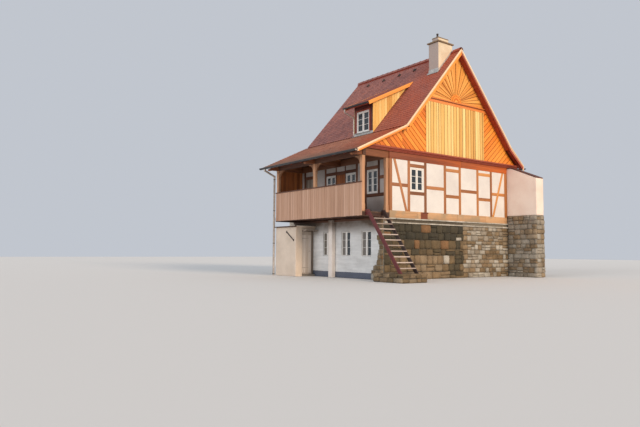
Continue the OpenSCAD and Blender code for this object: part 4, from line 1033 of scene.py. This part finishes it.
TILE_W, TILE_T, GAUGE, TILE_L = 0.19, 0.014, 0.15, 0.30
bpy.ops.mesh.primitive_grid_add(x_subdivisions=4, y_subdivisions=1, size=1)
tile = bpy.context.object
for vertex in tile.data.vertices:
    vertex.co.y = (vertex.co.y + 0.5) * TILE_L if vertex.co.y > 0 else 0.045 * (2 * vertex.co.x) ** 2
    vertex.co.z = -vertex.co.y * 2 * TILE_T / TILE_L
solid = tile.modifiers.new("clay", "SOLIDIFY")
solid.thickness, solid.offset = TILE_T, -1.0
bpy.ops.object.modifier_apply(modifier="clay")


def slope_axes(foot, head, side):
    """The way up a slope and the way out of it; side is 1 on the gallery side and -1 at the rear."""
    upward = (head - foot).normalized()
    return upward, Vector((side, 0, 0)).cross(upward)


def tiled(name, foot, head, side, x0, x1, skip=None):
    """Lays courses of tiles from the foot line up to the head line of a slope."""
    rise = (head - foot).length
    upward, normal = slope_axes(foot, head, side)
    turn = Matrix((Vector((side, 0, 0)), upward, normal)).transposed().to_4x4()
    courses = round(rise / GAUGE)
    columns = round((x1 - x0) / TILE_W)
    wide, gauge = (x1 - x0) / columns, rise / courses
    tiles = []
    for course in range(courses):
        ends = [0.0] + [i + 0.5 for i in range(columns)] + [columns] if course % 2 else list(range(columns + 1))
        for a, b in zip(ends, ends[1:]):
            centre = foot + upward * gauge * course + Vector((x0 + wide * (a + b) / 2, 0, 0))
            if skip and skip(centre):
                continue
            length = min(TILE_L, rise - gauge * course) / TILE_L
            size = Matrix.Diagonal(((b - a) * wide - 0.004, length, 1, 1))
            jitter = Matrix.Rotation(chance.uniform(-0.012, 0.012), 4, "Z")
            lift = normal * chance.uniform(-0.002, 0.001)
            tiles.append(copy_of(tile, Matrix.Translation(centre + lift) @ turn @ jitter @ size, chance.random()))
    return joined(name, tiles)


def line_at(y, z):
    """A point of a line that runs along the roof."""
    return Vector((0, y + FRONT_Y, z))


eave_line = line_at(-1.58, 4.97)
kick_line = line_at(KICK_Y, eave_line.z + 2.57 * GALLERY_TAN)
ridge_line = line_at(RIDGE_Y, round((kick_line.z + 3.37 * ROOF_TAN) * 1000) / 1000)
break_line = line_at(DEPTH, ridge_line.z - 3.52 * ROOF_TAN)
rear_eave_line = line_at(8.85, break_line.z - 0.97 * REAR_TAN)
gallery_run, main_run = (eave_line, kick_line, 1), (kick_line, ridge_line, 1)
rear_run, rear_eave_run = (break_line, ridge_line, -1), (rear_eave_line, break_line, -1)
NEAR_X, FAR_X = 3.545, -3.298


def under_dormer_or_chimney(p):
    """True where the dormer or the chimney stands in the tiles."""
    in_dormer = 0.34 < p.x < 1.54 and kick_line.y + 0.06 < p.y < 3.02 + FRONT_Y
    in_chimney = 2.53 < p.x < 3.03 and ridge_line.y - 0.93 < p.y
    return in_dormer or in_chimney


fitted(tiled("front_tiles", *main_run, FAR_X, NEAR_X, under_dormer_or_chimney), clay, "roof_tile", "roof_front")
fitted(tiled("gallery_tiles", *gallery_run, FAR_X, NEAR_X), pale_clay, "roof_tile", "roof_gallery")
rear_tiles = [tiled("rear_slope_tiles", *run, FAR_X, NEAR_X) for run in (rear_run, rear_eave_run)]
fitted(joined("rear_tiles", rear_tiles), clay, "roof_tile", "roof_rear")

DECK_DROP = 0.046


def deck(foot, head, side, thick, x0, x1):
    """A boarded slab under a slope, its top a little under the tiles."""
    normal = slope_axes(foot, head, side)[1]
    middle = (foot + head) / 2 - normal * (DECK_DROP + thick / 2)
    return board(middle + Vector((x0, 0, 0)), middle + Vector((x1, 0, 0)), (head - foot).length, thick, normal, 0.5)


# Soffit boards: a dark red coat that shows under the verge and the eaves.
soffit_paint = oiled_wood("dark_red_soffit_boards", "#b04420", "#923012", "#6a200c")
decks = [deck(*run, thick, FAR_X + 0.01, 3.54)
         for run, thick in ((main_run, 0.134), (gallery_run, 0.036), (rear_run, 0.134), (rear_eave_run, 0.05))]
rafters = []
for i in range(10):
    along = Vector((FAR_X + 0.12 + i * 0.735, 0, 0))
    for run, thin in ((gallery_run, 0.043), (rear_eave_run, 0.084)):
        upward, normal = slope_axes(*run)
        foot = run[0] + upward * 0.02 - normal * (0.082 + thin / 2) + along
        rafters.append(board(foot, foot + upward * 1.15, 0.1, thin, normal))
built("roof_deck", decks, 0, soffit_paint, "roof_tile")
built("rafter_feet", rafters, 0.004, soffit_paint, "dark_wood")


# Ridge: half round clay caps, each lapping the next, bedded over the top courses.
bpy.ops.mesh.primitive_cylinder_add(vertices=20, radius=0.105, depth=0.42, end_fill_type="NOTHING")
cap = bpy.context.object
cap.data.transform(Matrix.Rotation(math.pi / 2, 4, "Y"))
for vertex in cap.data.vertices:
    if vertex.co.x > 0:
        vertex.co.y *= 1.14
        vertex.co.z *= 1.14
trimmed(cap, (Vector((0, 0, -0.02)), DOWN))
cap_bed = ridge_line - Vector((0, 0, 0.055))
caps, x = [], FAR_X + 0.21
while x < 3.37:
    if not 2.34 < x < 3.22:
        caps.append(copy_of(cap, Matrix.Translation(cap_bed + Vector((x, 0, 0))), chance.random()))
    x += 0.37
caps.append(copy_of(cap, Matrix.Translation(cap_bed + Vector((3.368, 0, 0))), 0.5))
built("ridge_caps", caps, 0, clay, "roof_tile", "ridge_cap")


# Bargeboards: planed boards nailed over the verge, painted in a pale peach, with
# a thin cover strip along their upper edge that carries the tile ends.
def eased_solid(name, node, arris, material, slot):
    """A CAD solid with its arrises taken off."""
    fitted(eased(solid_copy(name, node), arris, 2), material, slot, node)


# Peach linseed paint: a pale warm band along the verge, hardly any grain.
peach_paint = oiled_wood("peach_linseed_paint", "#f8d8b6", "#f0c8a0", "#dcae84", rough=0.5, bump=0.15, axis=1)
eased_solid("verge_boards", "bargeboards", 0.006, peach_paint, "barge_wood")
# Cover strip: the same paint, a touch lighter, so that it draws a line along the tiles.
peach_strip = oiled_wood("peach_cover_strip", "#fbe0bc", "#f2cda2", "#dcae80", rough=0.5, bump=0.15)
strips = []
for foot, head, side in (gallery_run, main_run, rear_run, rear_eave_run):
    upward, normal = slope_axes(foot, head, side)
    shift = Vector((3.590, 0, 0)) - normal * 0.028
    strips.append(board(foot + shift + upward * 0.01, head + shift, 0.045, 0.018, EAST))
built("verge_cover_strips", strips, 0.004, peach_strip, "barge_wood")


def lower_boards(name, material, runs):
    """The stained half of the verge: a board on its face and a lath under its edge, cut plumb under the ridge."""
    parts = []
    for (foot, head, side), low, wide, before, past in runs:
        upward, normal = slope_axes(foot, head, side)
        cuts = [(ridge_line, Vector((0, side, 0)))]
        if foot == kick_line:
            cuts.append((kick_line, Vector(SOUTH)))
        for x, drop, across, thick in ((3.584, low, wide, 0.010), (3.5685, low + wide / 2 + 0.001, 0.010, 0.041)):
            shift = Vector((x, 0, 0)) - normal * drop
            piece = board(foot + shift - upward * before, head + shift + upward * past, across, thick, EAST)
            parts.append(trimmed(piece, *cuts))
    built(name, parts, 0.003, material, "barge_wood")


lower_boards("verge_amber_boards", amber_boards, ((gallery_run, 0.107, 0.046, -0.01, 0.13),
                                                  (main_run, 0.139, 0.090, 0.22, 0.0)))
lowered_eave_run = (rear_eave_line, break_line - Vector((0, 0, 0.036)), -1)
lower_boards("verge_red_boards", soffit_paint, ((rear_run, 0.139, 0.090, 0.03, 0.0),
                                                (lowered_eave_run, 0.134, 0.108, -0.01, 0.03)))


# Dormer: a shed dormer with golden boarded cheeks, a red-brown front, plain tiles
# on a boarded deck, and a dressed lead apron under the window.
dormer_low, dormer_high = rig.box("dormer_roof")
front_low, front_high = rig.box("dormer_front")
dormer_eave = Vector((0, dormer_low.y, dormer_low.z + 0.15))
dormer_back = Vector((0, dormer_high.y, dormer_high.z))
dormer_run = (dormer_eave, dormer_back, 1)
dormer_up, dormer_normal = slope_axes(*dormer_run)
main_normal, rear_normal, gallery_normal = main_slope[1], rear_slope[1], gallery_slope[1]
over_tiles = (kick_line, -main_normal)
fitted(tiled("dormer_tiles", *dormer_run, dormer_low.x, dormer_high.x - 0.03), clay, "roof_tile", "dormer_roof")
dormer_deck = deck(dormer_eave + dormer_up * 0.01, dormer_back, 1, 0.085, dormer_low.x + 0.03, dormer_high.x - 0.035)
built("dormer_deck", [dormer_deck], 0, soffit_paint, "roof_tile", cuts=(over_tiles,))
fascias = []
for x in (dormer_low.x + 0.014, dormer_high.x - 0.015):
    middle = (dormer_eave + dormer_back) / 2 - dormer_normal * 0.078 + Vector((x, 0, 0))
    reach = dormer_up * (dormer_back - dormer_eave).length / 2
    fascias.append(board(middle - reach, middle + reach, 0.15, 0.026, EAST))
# Fascia: a bright amber glaze that outlines the dormer's roof.
amber_fascia = oiled_wood("amber_glazed_fascia", "#ffc070", "#f6a44c", "#d28030", rough=0.5)
built("dormer_fascias", fascias, 0.004, amber_fascia, "gable_wood", cuts=(over_tiles,))
cheeks, thick = [], 0.02
for side, face in ((-1, front_low.x), (1, front_high.x)):
    x, y = face + side * thick / 2, front_low.y
    while y < dormer_high.y:
        step = chance.uniform(0.13, 0.18)
        cheeks.append(board((x, y + step / 2, 6.0), (x, y + step / 2, 9.0), step - 0.006, thick, (side, 0, 0)))
        y += step
built("dormer_cheek_boards", cheeks, 0.003, golden_boards, "gable_wood",
      cuts=(over_tiles, (dormer_eave - Vector((0, 0, 0.149)), dormer_normal)))
dressed(backing, "dormer_cheeks")
# Paint of the dormer's front: a deep red-brown that sets off the white window.
dressed(oiled_wood("red_brown_dormer_paint", "#8c4130", "#702e22", "#512019", rough=0.55, axis=0), "dormer_front")
WIN_X0, WIN_X1, WIN_Z0, WIN_Z1 = GABLE_X - 2.815, GABLE_X - 1.975, 6.291, 7.241
face_y = front_low.y - 0.010
casing = [board((x, face_y, WIN_Z0), (x, face_y, WIN_Z1 + 0.06), 0.06, 0.022, SOUTH)
          for x in (WIN_X0 - 0.03, WIN_X1 + 0.03)]
casing.append(board((WIN_X0 - 0.06, face_y, WIN_Z1 + 0.03), (WIN_X1 + 0.06, face_y, WIN_Z1 + 0.03), 0.06, 0.024, SOUTH))
built("dormer_casing", casing, 0.003, red_brown_paint, "cornice_paint")
# Dressed lead: light dull grey with soft clouds and the marks of the dresser.
lead = mottled("dressed_lead_sheet", ((0.3, "#a3a3a0"), (0.7, "#cac7c1")), 9.0, 5.0,
               {"Metallic": 0.35, "Roughness": 0.55}, 0.3, 0.006)


def sheet(x0, x1, middle, width, thickness, facing):
    """A strip of lead or board between two places along the ridge."""
    return board(middle + Vector((x0, 0, 0)), middle + Vector((x1, 0, 0)), width, thickness, facing)


down = Vector((0, -1, -GALLERY_TAN)).normalized()
flat = Vector((0, front_low.y, kick_line.z)) + gallery_normal * 0.012 + down * 0.08
x0, x1 = front_low.x - 0.03, front_high.x + 0.03
apron = [sheet(x0, x1, flat, 0.17, 0.005, gallery_normal),
         sheet(x0, x1, Vector((0, front_low.y - 0.008, WIN_Z0 - 0.055)), 0.10, 0.006, SOUTH),
         sheet(WIN_X0 - 0.07, WIN_X1 + 0.07, Vector((0, front_low.y - 0.03, WIN_Z0 - 0.006)), 0.08, 0.014, UP)]
built("dormer_apron", apron, 0.002, lead, "zinc_light")


# Chimney: brick stack rendered in cream lime, with lead flashings where it comes
# through the tiles, a weathered stone slab, a smaller block and a dark clay cowl.
stack_low, stack_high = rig.box("chimney_stack")
cap_low, cap_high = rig.box("chimney_cap")
# Chimney render: cream, with grey-brown painted shade on the front part of the stack, towards the shaded gallery side.
chimney_lime = lime_coat("chimney_lime_render", "#ecdcc0", "#d2bea0", front=(-0.472, "#b5a398"))
lime_skin("chimney_render", "chimney_stack", 0.03, 0.010, 0.3, chimney_lime, "chimney_render")
# Sandstone slab: dull brown and gritty, darkened by rain.
slab_stone = mottled("weathered_sandstone_slab", ((0.3, "#6e5c4a"), (0.7, "#9c8468")), 22.0, 7.0, {"Roughness": 0.9},
                     0.5, 0.008)


def block_at(x, y, z, width, thickness):
    """A lying slab or block of the chimney's head, its y from the first to the second place."""
    return board((x, y[0], z), (x, y[1], z), width, thickness, UP)


slab = block_at((cap_low.x + cap_high.x) / 2, (cap_low.y, cap_high.y), cap_low.z + 0.03, cap_high.x - cap_low.x, 0.06)
built("chimney_slab", [slab], 0.014, slab_stone, "chimney_stone", "chimney_cap", rounds=2)
head_x = (cap_high.x + cap_low.x + 0.187) / 2
y0, y1 = cap_low.y + 0.06, cap_low.y + 0.742
head_top = block_at(head_x, (y0, y1), cap_high.z - 0.02, 0.373, 0.038)
built("chimney_block_top", [head_top], 0.010, slab_stone, "chimney_stone", rounds=2)
head = block_at(head_x, (y0 + 0.012, y1 - 0.012), (cap_low.z + cap_high.z + 0.02) / 2, 0.349,
                cap_high.z - cap_low.z - 0.10)
built("chimney_block", [head], 0.010, chimney_lime, "chimney_stone", rounds=2)


def turned_shape(name, centre, rings, steps=32):
    """A round piece built up ring by ring, each ring given as (radius, height)."""
    bpy.ops.mesh.primitive_circle_add(vertices=steps, radius=rings[0][0], fill_type="NGON",
                                      location=centre + Vector((0, 0, rings[0][1])))
    edit_all()
    for (old, low), (new, high) in zip(rings, rings[1:]):
        bpy.ops.mesh.extrude_region_move(TRANSFORM_OT_translate={"value": (0, 0, high - low)})
        k = new / old
        bpy.ops.transform.resize(value=(k, k, 1), center_override=centre + Vector((0, 0, high)))
    bpy.ops.mesh.select_all(action="SELECT")
    bpy.ops.mesh.normals_make_consistent(inside=False)
    bpy.ops.object.mode_set(mode="OBJECT")
    bpy.ops.object.transform_apply(location=True, rotation=True, scale=True)
    piece = bpy.context.object
    piece.name = name
    bpy.ops.object.shade_smooth_by_angle(angle=math.radians(35))
    return piece


cowl_low, cowl_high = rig.box("chimney_cowl")
cowl_foot = Vector(((cowl_low.x + cowl_high.x) / 2, (cowl_low.y + cowl_high.y) / 2, cowl_low.z))
# Sooted clay: a dark pot with brown showing through the soot.
dark_clay = mottled("sooted_clay_cowl", ((0.3, "#2a2523"), (0.7, "#4a3c34")), 30.0, 5.0, {"Roughness": 0.7})
cowl = turned_shape("chimney_pot", cowl_foot, ((0.050, 0.0), (0.055, 0.014), (0.046, 0.025), (0.041, 0.20),
                                               (0.052, 0.214), (0.054, 0.236), (0.043, 0.25), (0.038, 0.247),
                                               (0.036, 0.15)))
fitted(cowl, dark_clay, "iron", "chimney_cowl")
slope = Vector((0, 1, ROOF_TAN)).normalized()
upright = Matrix((slope, Vector(WEST), main_normal)).transposed().to_4x4() @ Matrix.Diagonal((0.32, 0.6, 0.5, 1))
vents = []
for x in (-2.1, -0.95, 0.15, 1.15):
    place = ridge_line - slope * 0.62 + main_normal * 0.006 + Vector((x, 0, 0))
    vents.append(copy_of(cap, Matrix.Translation(place) @ upright, 0.5))
built("vent_tiles", vents, 0, dark_clay, "roof_tile")


def on_main_slope(y):
    """The point of the front slope at a depth."""
    return Vector((0, y, kick_line.z + (y - kick_line.y) * ROOF_TAN))


flashings = []
for x, side in ((stack_low.x, -1), (stack_high.x, 1)):
    shift = Vector((x + side * 0.005, 0, 0)) + main_normal * 0.025
    flashings.append(board(on_main_slope(stack_low.y - 0.08) + slope * 0.12 + shift, ridge_line + shift, 0.05, 0.006,
                           (side, 0, 0)))
front_foot = on_main_slope(stack_low.y)
behind = Vector((0, 0.06, -0.06 * ROOF_TAN))
for wider, middle, width, facing in ((0.05, front_foot - slope * 0.05 + main_normal * 0.014, 0.14, main_normal),
                                     (0.006, front_foot + Vector((0, -0.006, 0.07)), 0.14, SOUTH),
                                     (0.11, ridge_line + rear_normal * 0.014 + behind, 0.2, rear_normal)):
    flashings.append(sheet(stack_low.x - wider, stack_high.x + wider, middle, width, 0.006, facing))
built("chimney_flashings", flashings, 0.002, lead, "zinc_light")


# Gutters and pipes: half round gutters of dark coated sheet on bent straps, and
# light coated pipes with sockets and clips.
SHEET = {"Metallic": 0.4, "Roughness": 0.42}
# Dark coated zinc: charcoal sheet with faint runs of dust, a thin dark line under the eave.
dark_sheet = mottled("dark_coated_zinc", ((0.3, "#36373a"), (0.7, "#4c4d4f")), 7.0, 6.0, SHEET, 0.1, 0.004)
# Light coated zinc: a pale warm grey that lifts the pipes off the wall.
light_sheet = mottled("light_coated_zinc", ((0.3, "#ab9f94"), (0.7, "#cfc4b8")), 7.0, 6.0, SHEET, 0.1, 0.004)


def smooth_solid(name, node, material, slot):
    """A CAD solid of bent sheet, shaded smooth round its bends."""
    piece = solid_copy(name, node)
    bpy.ops.object.shade_smooth_by_angle(angle=math.radians(40))
    fitted(piece, material, slot, node)


def gutter_strap(radius):
    """A bent strap that holds a half round gutter, its middle at the origin."""
    bpy.ops.mesh.primitive_plane_add(size=1)
    strap = bpy.context.object
    strap.data.transform(Matrix.Translation((0, -radius - 0.002, 0)) @ Matrix.Diagonal((0.024, 0.004, 1, 1)))
    edit_all()
    bpy.ops.mesh.spin(steps=12, angle=math.pi, center=(0, 0, 0), axis=EAST)
    bpy.ops.mesh.select_all(action="SELECT")
    bpy.ops.mesh.remove_doubles(threshold=0.0001)
    bpy.ops.object.mode_set(mode="OBJECT")
    if max(v.co.z for v in strap.data.vertices) > 0.02:
        strap.data.transform(Matrix.Diagonal((1, 1, -1, 1)))
    edit_all()
    bpy.ops.mesh.normals_make_consistent(inside=False)
    bpy.ops.object.mode_set(mode="OBJECT")
    return strap


smooth_solid("gutter_troughs", "gutters", dark_sheet, "zinc_dark")
big_strap, small_strap = gutter_strap(0.0705), gutter_strap(0.0555)
front_gutter = Vector((0, eave_line.y - 0.075, eave_line.z - 0.0461))
rear_gutter = Vector((0, rear_eave_line.y + 0.075, rear_eave_line.z - 0.0778))
dormer_gutter = Vector((0, dormer_eave.y - 0.060, dormer_eave.z - 0.05))
hangers = [(big_strap, line + Vector((FAR_X + 0.2 + 0.64 * i, 0, 0))) for i in range(11)
           for line in (front_gutter, rear_gutter)]
dormer_first, dormer_length = dormer_low.x + 0.1, dormer_high.x - dormer_low.x - 0.2
hangers += [(small_strap, dormer_gutter + Vector((dormer_first + dormer_length * i / 3, 0, 0))) for i in range(4)]
gutter_straps = [copy_of(strap, Matrix.Translation(place), 0.5) for strap, place in hangers]
built("gutter_straps", gutter_straps, 0, dark_sheet, "zinc_dark")
bpy.ops.mesh.primitive_cylinder_add(vertices=32, radius=0.0745, depth=0.012)
end_cap = bpy.context.object
end_cap.data.transform(Matrix.Translation(front_gutter + Vector((3.543, 0, 0))) @ face_out)
trimmed(end_cap, (front_gutter, Vector(UP)))
built("gutter_end_cap", [end_cap], 0.002, light_sheet, "zinc_light")
smooth_solid("downpipe_run", "downpipes", light_sheet, "zinc_light")
pipe_foot = Vector((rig.box("downpipes")[0].x + 0.051, FRONT_Y - 1.131, 0))
CLIP = ((0.046, 0.0), (0.0505, 0.004), (0.0505, 0.030), (0.046, 0.034))
clips = [turned_shape("clip", pipe_foot + Vector((0, 0, z)), CLIP, 24) for z in (0.06, 1.45, 2.95, 4.4)]
built("downpipe_clips", clips, 0, dark_sheet, "zinc_dark")


def pipe_run(name, points, radius):
    """A pipe along a run of points, its corners rounded."""
    curve = bpy.data.curves.new(name, "CURVE")
    curve.dimensions, curve.bevel_depth, curve.bevel_resolution, curve.use_fill_caps = "3D", radius, 5, True
    run = [points[0]]
    for before, corner, after in zip(points, points[1:], points[2:]):
        a = corner + (before - corner).normalized() * radius * 1.8
        b = corner + (after - corner).normalized() * radius * 1.8
        run += [a * (1 - t) ** 2 + corner * 2 * t * (1 - t) + b * t ** 2 for t in (0, 0.25, 0.5, 0.75, 1)]
    run.append(points[-1])
    spline = curve.splines.new("POLY")
    spline.points.add(len(run) - 1)
    for point, place in zip(spline.points, run):
        point.co = (*place, 1)
    pipe = bpy.data.objects.new(name, curve)
    bpy.context.collection.objects.link(pipe)
    pick_out(pipe)
    bpy.ops.object.convert(target="MESH")
    bpy.ops.object.shade_smooth_by_angle(angle=math.radians(40))
    return bpy.context.object


gutter_end = dormer_gutter + Vector((dormer_low.x + 0.07, 0, -0.055))
bends = [gutter_end, gutter_end - Vector((0, 0, 0.13))]
bends += [Vector((front_low.x - 0.045, front_low.y - 0.01, z)) for z in (7.02, 6.24)]
fitted(pipe_run("dormer_downpipe", bends, 0.032), light_sheet, "zinc_light")


# Gallery frame: chamfered posts with curved knee braces under a plate, tie beams
# with rounded heads, all in spruce that has gone tan in the weather.
POST, POST_Y, CHAMFER_LOW, CHAMFER_HIGH = 0.15, -1.08, 2.95, 4.38


def chamfered_post(x, y):
    """A post whose four arrises are planed off between two stops."""
    bpy.ops.mesh.primitive_cube_add(size=1)
    post = bpy.context.object
    centre = at(x + POST / 2, y + POST / 2, (FLOOR + PLATE_FOOT) / 2)
    post.data.transform(Matrix.Translation(centre) @ Matrix.Diagonal((POST, POST, PLATE_FOOT - FLOOR, 1)))
    bpy.ops.object.mode_set(mode="EDIT")
    for z in (CHAMFER_LOW, CHAMFER_HIGH):
        bpy.ops.mesh.select_all(action="SELECT")
        bpy.ops.mesh.bisect(plane_co=(0, 0, z), plane_no=UP)
    bpy.ops.mesh.select_all(action="DESELECT")
    bpy.ops.mesh.select_mode(type="EDGE")
    bpy.ops.object.mode_set(mode="OBJECT")
    for edge in post.data.edges:
        a, b = sorted(post.data.vertices[v].co.z for v in edge.vertices)
        edge.select = a > CHAMFER_LOW - 0.01 and b < CHAMFER_HIGH + 0.01 and b - a > 0.1
    bpy.ops.object.mode_set(mode="EDIT")
    bpy.ops.mesh.bevel(offset=0.022, segments=1, affect="EDGES")
    bpy.ops.mesh.select_mode(type="VERT")
    bpy.ops.object.mode_set(mode="OBJECT")
    set_tone(post.data, chance.uniform(0.3, 0.8))
    return post


# Weathered spruce of the posts: a dry tan with brown fibres.
tan_spruce = oiled_wood("tan_weathered_spruce", "#dcb08a", "#bd8c68", "#8a6044", rough=0.7, axis=2)
posts = [chamfered_post(x, y) for x, y in ((-0.19, POST_Y), (-3.24, POST_Y), (-6.09, POST_Y), (-0.19, 0.15))]
built("gallery_post_timbers", posts, 0.005, tan_spruce, "frame_timber", "gallery_posts")
eased_solid("gallery_knee_braces", "gallery_braces", 0.010, tan_spruce, "frame_timber")
# Weathered ties: orange-brown beam ends that catch the light.
tie_wood = oiled_wood("orange_weathered_ties", "#c98a58", "#a86a40", "#78462a", rough=0.7, axis=1)
eased_solid("gallery_tie_beams", "gallery_ties", 0.010, tie_wood, "dark_wood")
# Weathered plate: a deep brown in the roof's shade.
plate_wood = oiled_wood("brown_weathered_plate", "#9a6a4a", "#744a33", "#4c2f20", rough=0.7, axis=0)
eased_solid("gallery_plate_beam", "gallery_plate", 0.010, plate_wood, "dark_wood")


# Gallery deck: boards on joists that run out of the wall, with a header board.

# Deck boards: a dull brown, darkened as painted shade for their shaded underside, rough and dry.
deck_wood = oiled_wood("brown_deck_boards", "#80634d", "#5f4737", "#3f2e24", rough=0.8)
deck_boards = [beam((-LENGTH, 0), -0.9815 + 0.1971 * i, 2.625, 0.192, 0.048, UP) for i in range(7)]
built("gallery_deck_boards", deck_boards, 0.004, deck_wood, "floor_wood", "gallery_floor")
joists = [beam(-6.09 + i * (LENGTH - 0.12) / 8, (-1.05, 0.30), 2.525, 0.12, 0.148, UP) for i in range(9)]
# The header board, and low on the wall a dark ledger: a beam that also stands in as painted shade for the dark band
# under the deck.
joists += [beam((-LENGTH, 0), -1.065, 2.525, 0.148, 0.028, SOUTH),
           beam((-LENGTH, -0.03), -0.04, 2.408, 0.082, 0.07, SOUTH)]
built("gallery_joist_timbers", joists, 0.006, dark_oak, "dark_wood", "gallery_joists")


# Gallery parapet: upright boards of random widths, weathered to a pinkish brown,
# nailed to two rails, under a thin dark handrail.

# Parapet boards: pinkish tan, dry, with raised grain and a tone of its own for each board.
parapet_spruce = oiled_wood("weathered_parapet_boards", "#d4ac92", "#bf9478", "#94705a", rough=0.8, bump=0.7)
parapet = []
for x, step in random_widths(-6.09, -0.04, 0.11, 0.17):
    thick = chance.uniform(0.019, 0.024)
    parapet.append(beam(x, POST_Y - thick / 2, (2.475 + chance.uniform(0, 0.012), 3.75), step - 0.010, thick, SOUTH,
                        chance.uniform(0.25, 0.85)))
built("parapet_boards", parapet, 0.003, parapet_spruce, "parapet_wood", "gallery_parapet")
rails = [beam((-6.09, -0.04), -1.11, 3.77, 0.06, 0.038, UP)]
rails += [beam(x, -1.05, z, 0.058, 0.078, UP) for x in ((-3.09, -0.19), (-5.94, -3.24)) for z in (2.81, 3.65)]
built("gallery_rail_timbers", rails, 0.005, dark_oak, "dark_wood", "gallery_rails")


# Gallery boarding: the boarded far end, and two plank doors, one brown, one grey.

# Brown boards: an oiled orange-brown, dark in the joints.
brown_boards = oiled_wood("orange_brown_boards", "#cc7e40", "#a8602e", "#78421c")
end_boards = [beam(-6.0, -0.93 + 0.1537 * (i + 0.5), (FLOOR, PLATE_FOOT), 0.149, 0.028, EAST) for i in range(8)]
built("gallery_end_boarding", end_boards, 0.003, brown_boards, "boards_orange", "gallery_end_boards")
for name, x, wood, slot, *stands_for in (("gallery_brown_door", -3.375, brown_boards, "boards_orange", "gallery_doors"),
                                         ("gallery_grey_door", -5.70, grey_planks, "door_wood")):
    leaf = [beam(x + 0.116 * (i + 0.5), 0.352, (FLOOR, 4.45), 0.112, 0.04, SOUTH) for i in range(5)]
    built(name, leaf, 0.003, wood, slot, *stands_for)


# Outside stair: two steel stringers in dark red paint with pale oak treads, each
# of two planks, standing on a low rubble block.

# Painted steel: dark red with worn lighter spots, kept dark as painted shade, and brown painted shade on the inner
# stringer, which lies deeper in shade.
red_steel, tree = new_material("dark_red_painted_steel")
place = add(tree, "TexCoord", out="Object")
chips = add(tree, "TexNoise", {"Vector": place, "Scale": 22.0, "Detail": 6.0})
colour = add(tree, "ValToRGB", {"Fac": chips}, stops=((0.3, "#4e1f1f"), (0.6, "#6c2a2a"), (0.78, "#7e3834")))
# Painted shade: the stringer against the wall turns dark brown.
shaded_inner = add(tree, "Math", {0: add(tree, "SeparateXYZ", {0: place}, out="Y"), 1: -4.5}, operation="GREATER_THAN")
colour = add(tree, "Mix", {"Factor": shaded_inner, 6: colour, 7: linear("#3d2a24")}, out=2, data_type="RGBA")
surface(tree, colour, {"Roughness": 0.55}, chips, 0.15, 0.002)
eased_solid("stair_stringer_plates", "stair_stringers", 0.004, red_steel, "stair_red")
STEPS = [(0.37 + 0.152 * i, 2.38 - 0.205 * i) for i in range(10)]
# Worn oak: pale grey-brown treads, washed and open grained.
pale_oak = oiled_wood("pale_worn_oak_treads", "#d2c2b8", "#b2a094", "#86766c", rough=0.8, bump=0.7)
treads = [beam(x + dx, (-0.93, -0.14), z - 0.02, 0.106, 0.038, UP) for x, z in STEPS for dx in (-0.0555, 0.0555)]
built("stair_tread_planks", treads, 0.005, pale_oak, "tread_wood", "stair_treads")
cleats = [beam((x - 0.09, x + 0.09), y, z - 0.046, 0.03, 0.008, UP) for x, z in STEPS for y in (-0.914, -0.156)]
built("stair_cleats", cleats, 0, red_steel, "stair_red")


# Wing wall: rubble wall at the rear corner in pale pink render, with a thin brown
# coping that falls at its outer end.

# Pink lime render: a pale warm skin with soft patches.
pink_lime = lime_coat("pink_lime_render", "#f6e4d4", "#ebd2c0")
lime_skin("wing_render", "wing_wall", 0.035, 0.012, 0.4, pink_lime, "pink_render")
# Coping boards: a red-tinged brown line along the top.
coping_wood = oiled_wood("brown_coping_boards", "#9a6048", "#744232", "#4e2c22", rough=0.75, axis=0)
eased_solid("wing_coping_boards", "wing_coping", 0.006, coping_wood, "dark_wood")


# Plain parts: the party wall in bare lime render, the flagged ground floor and the
# boarded floor over it.

# Party wall render: a dull beige with broad stains.
dressed(lime_coat("party_wall_render", "#c9c0b2", "#ada394", tooth=0.5), "party_wall")
# Stone flags: worn grey-brown slabs with darker joints.
flags, tree = new_material("stone_flags")
place = add(tree, "TexCoord", out="Object")
slabs = add(tree, "TexVoronoi", {"Vector": place, "Scale": 2.2, "Randomness": 0.5}, out="Distance")
grit = add(tree, "TexNoise", {"Vector": place, "Scale": 18.0, "Detail": 6.0})
slab_colour = add(tree, "ValToRGB", {"Fac": slabs}, stops=((0.1, "#8d857a"), (0.5, "#746c62")))
grit_colour = add(tree, "ValToRGB", {"Fac": grit}, stops=((0.3, "#6b655d"), (0.7, "#a39a8d")))
colour = add(tree, "Mix", {"Factor": 0.4, 6: slab_colour, 7: grit_colour}, out=2, data_type="RGBA")
surface(tree, colour, {"Roughness": 0.85})
dressed(flags, "ground_floor")
# Floor boards: plain scrubbed softwood, mid brown.
dressed(oiled_wood("plain_floor_boards", "#c09a70", "#a07c56", "#78583a", axis=0), "upper_floor")


for pattern in stone_shapes + [block, tile, cap, big_strap, small_strap]:
    bpy.data.objects.remove(pattern)
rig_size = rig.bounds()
json.dump({"cad": [list(cad_box[0]), list(cad_box[1])], "visual": [list(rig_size[0]), list(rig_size[1])]},
          open("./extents.json", "w"))
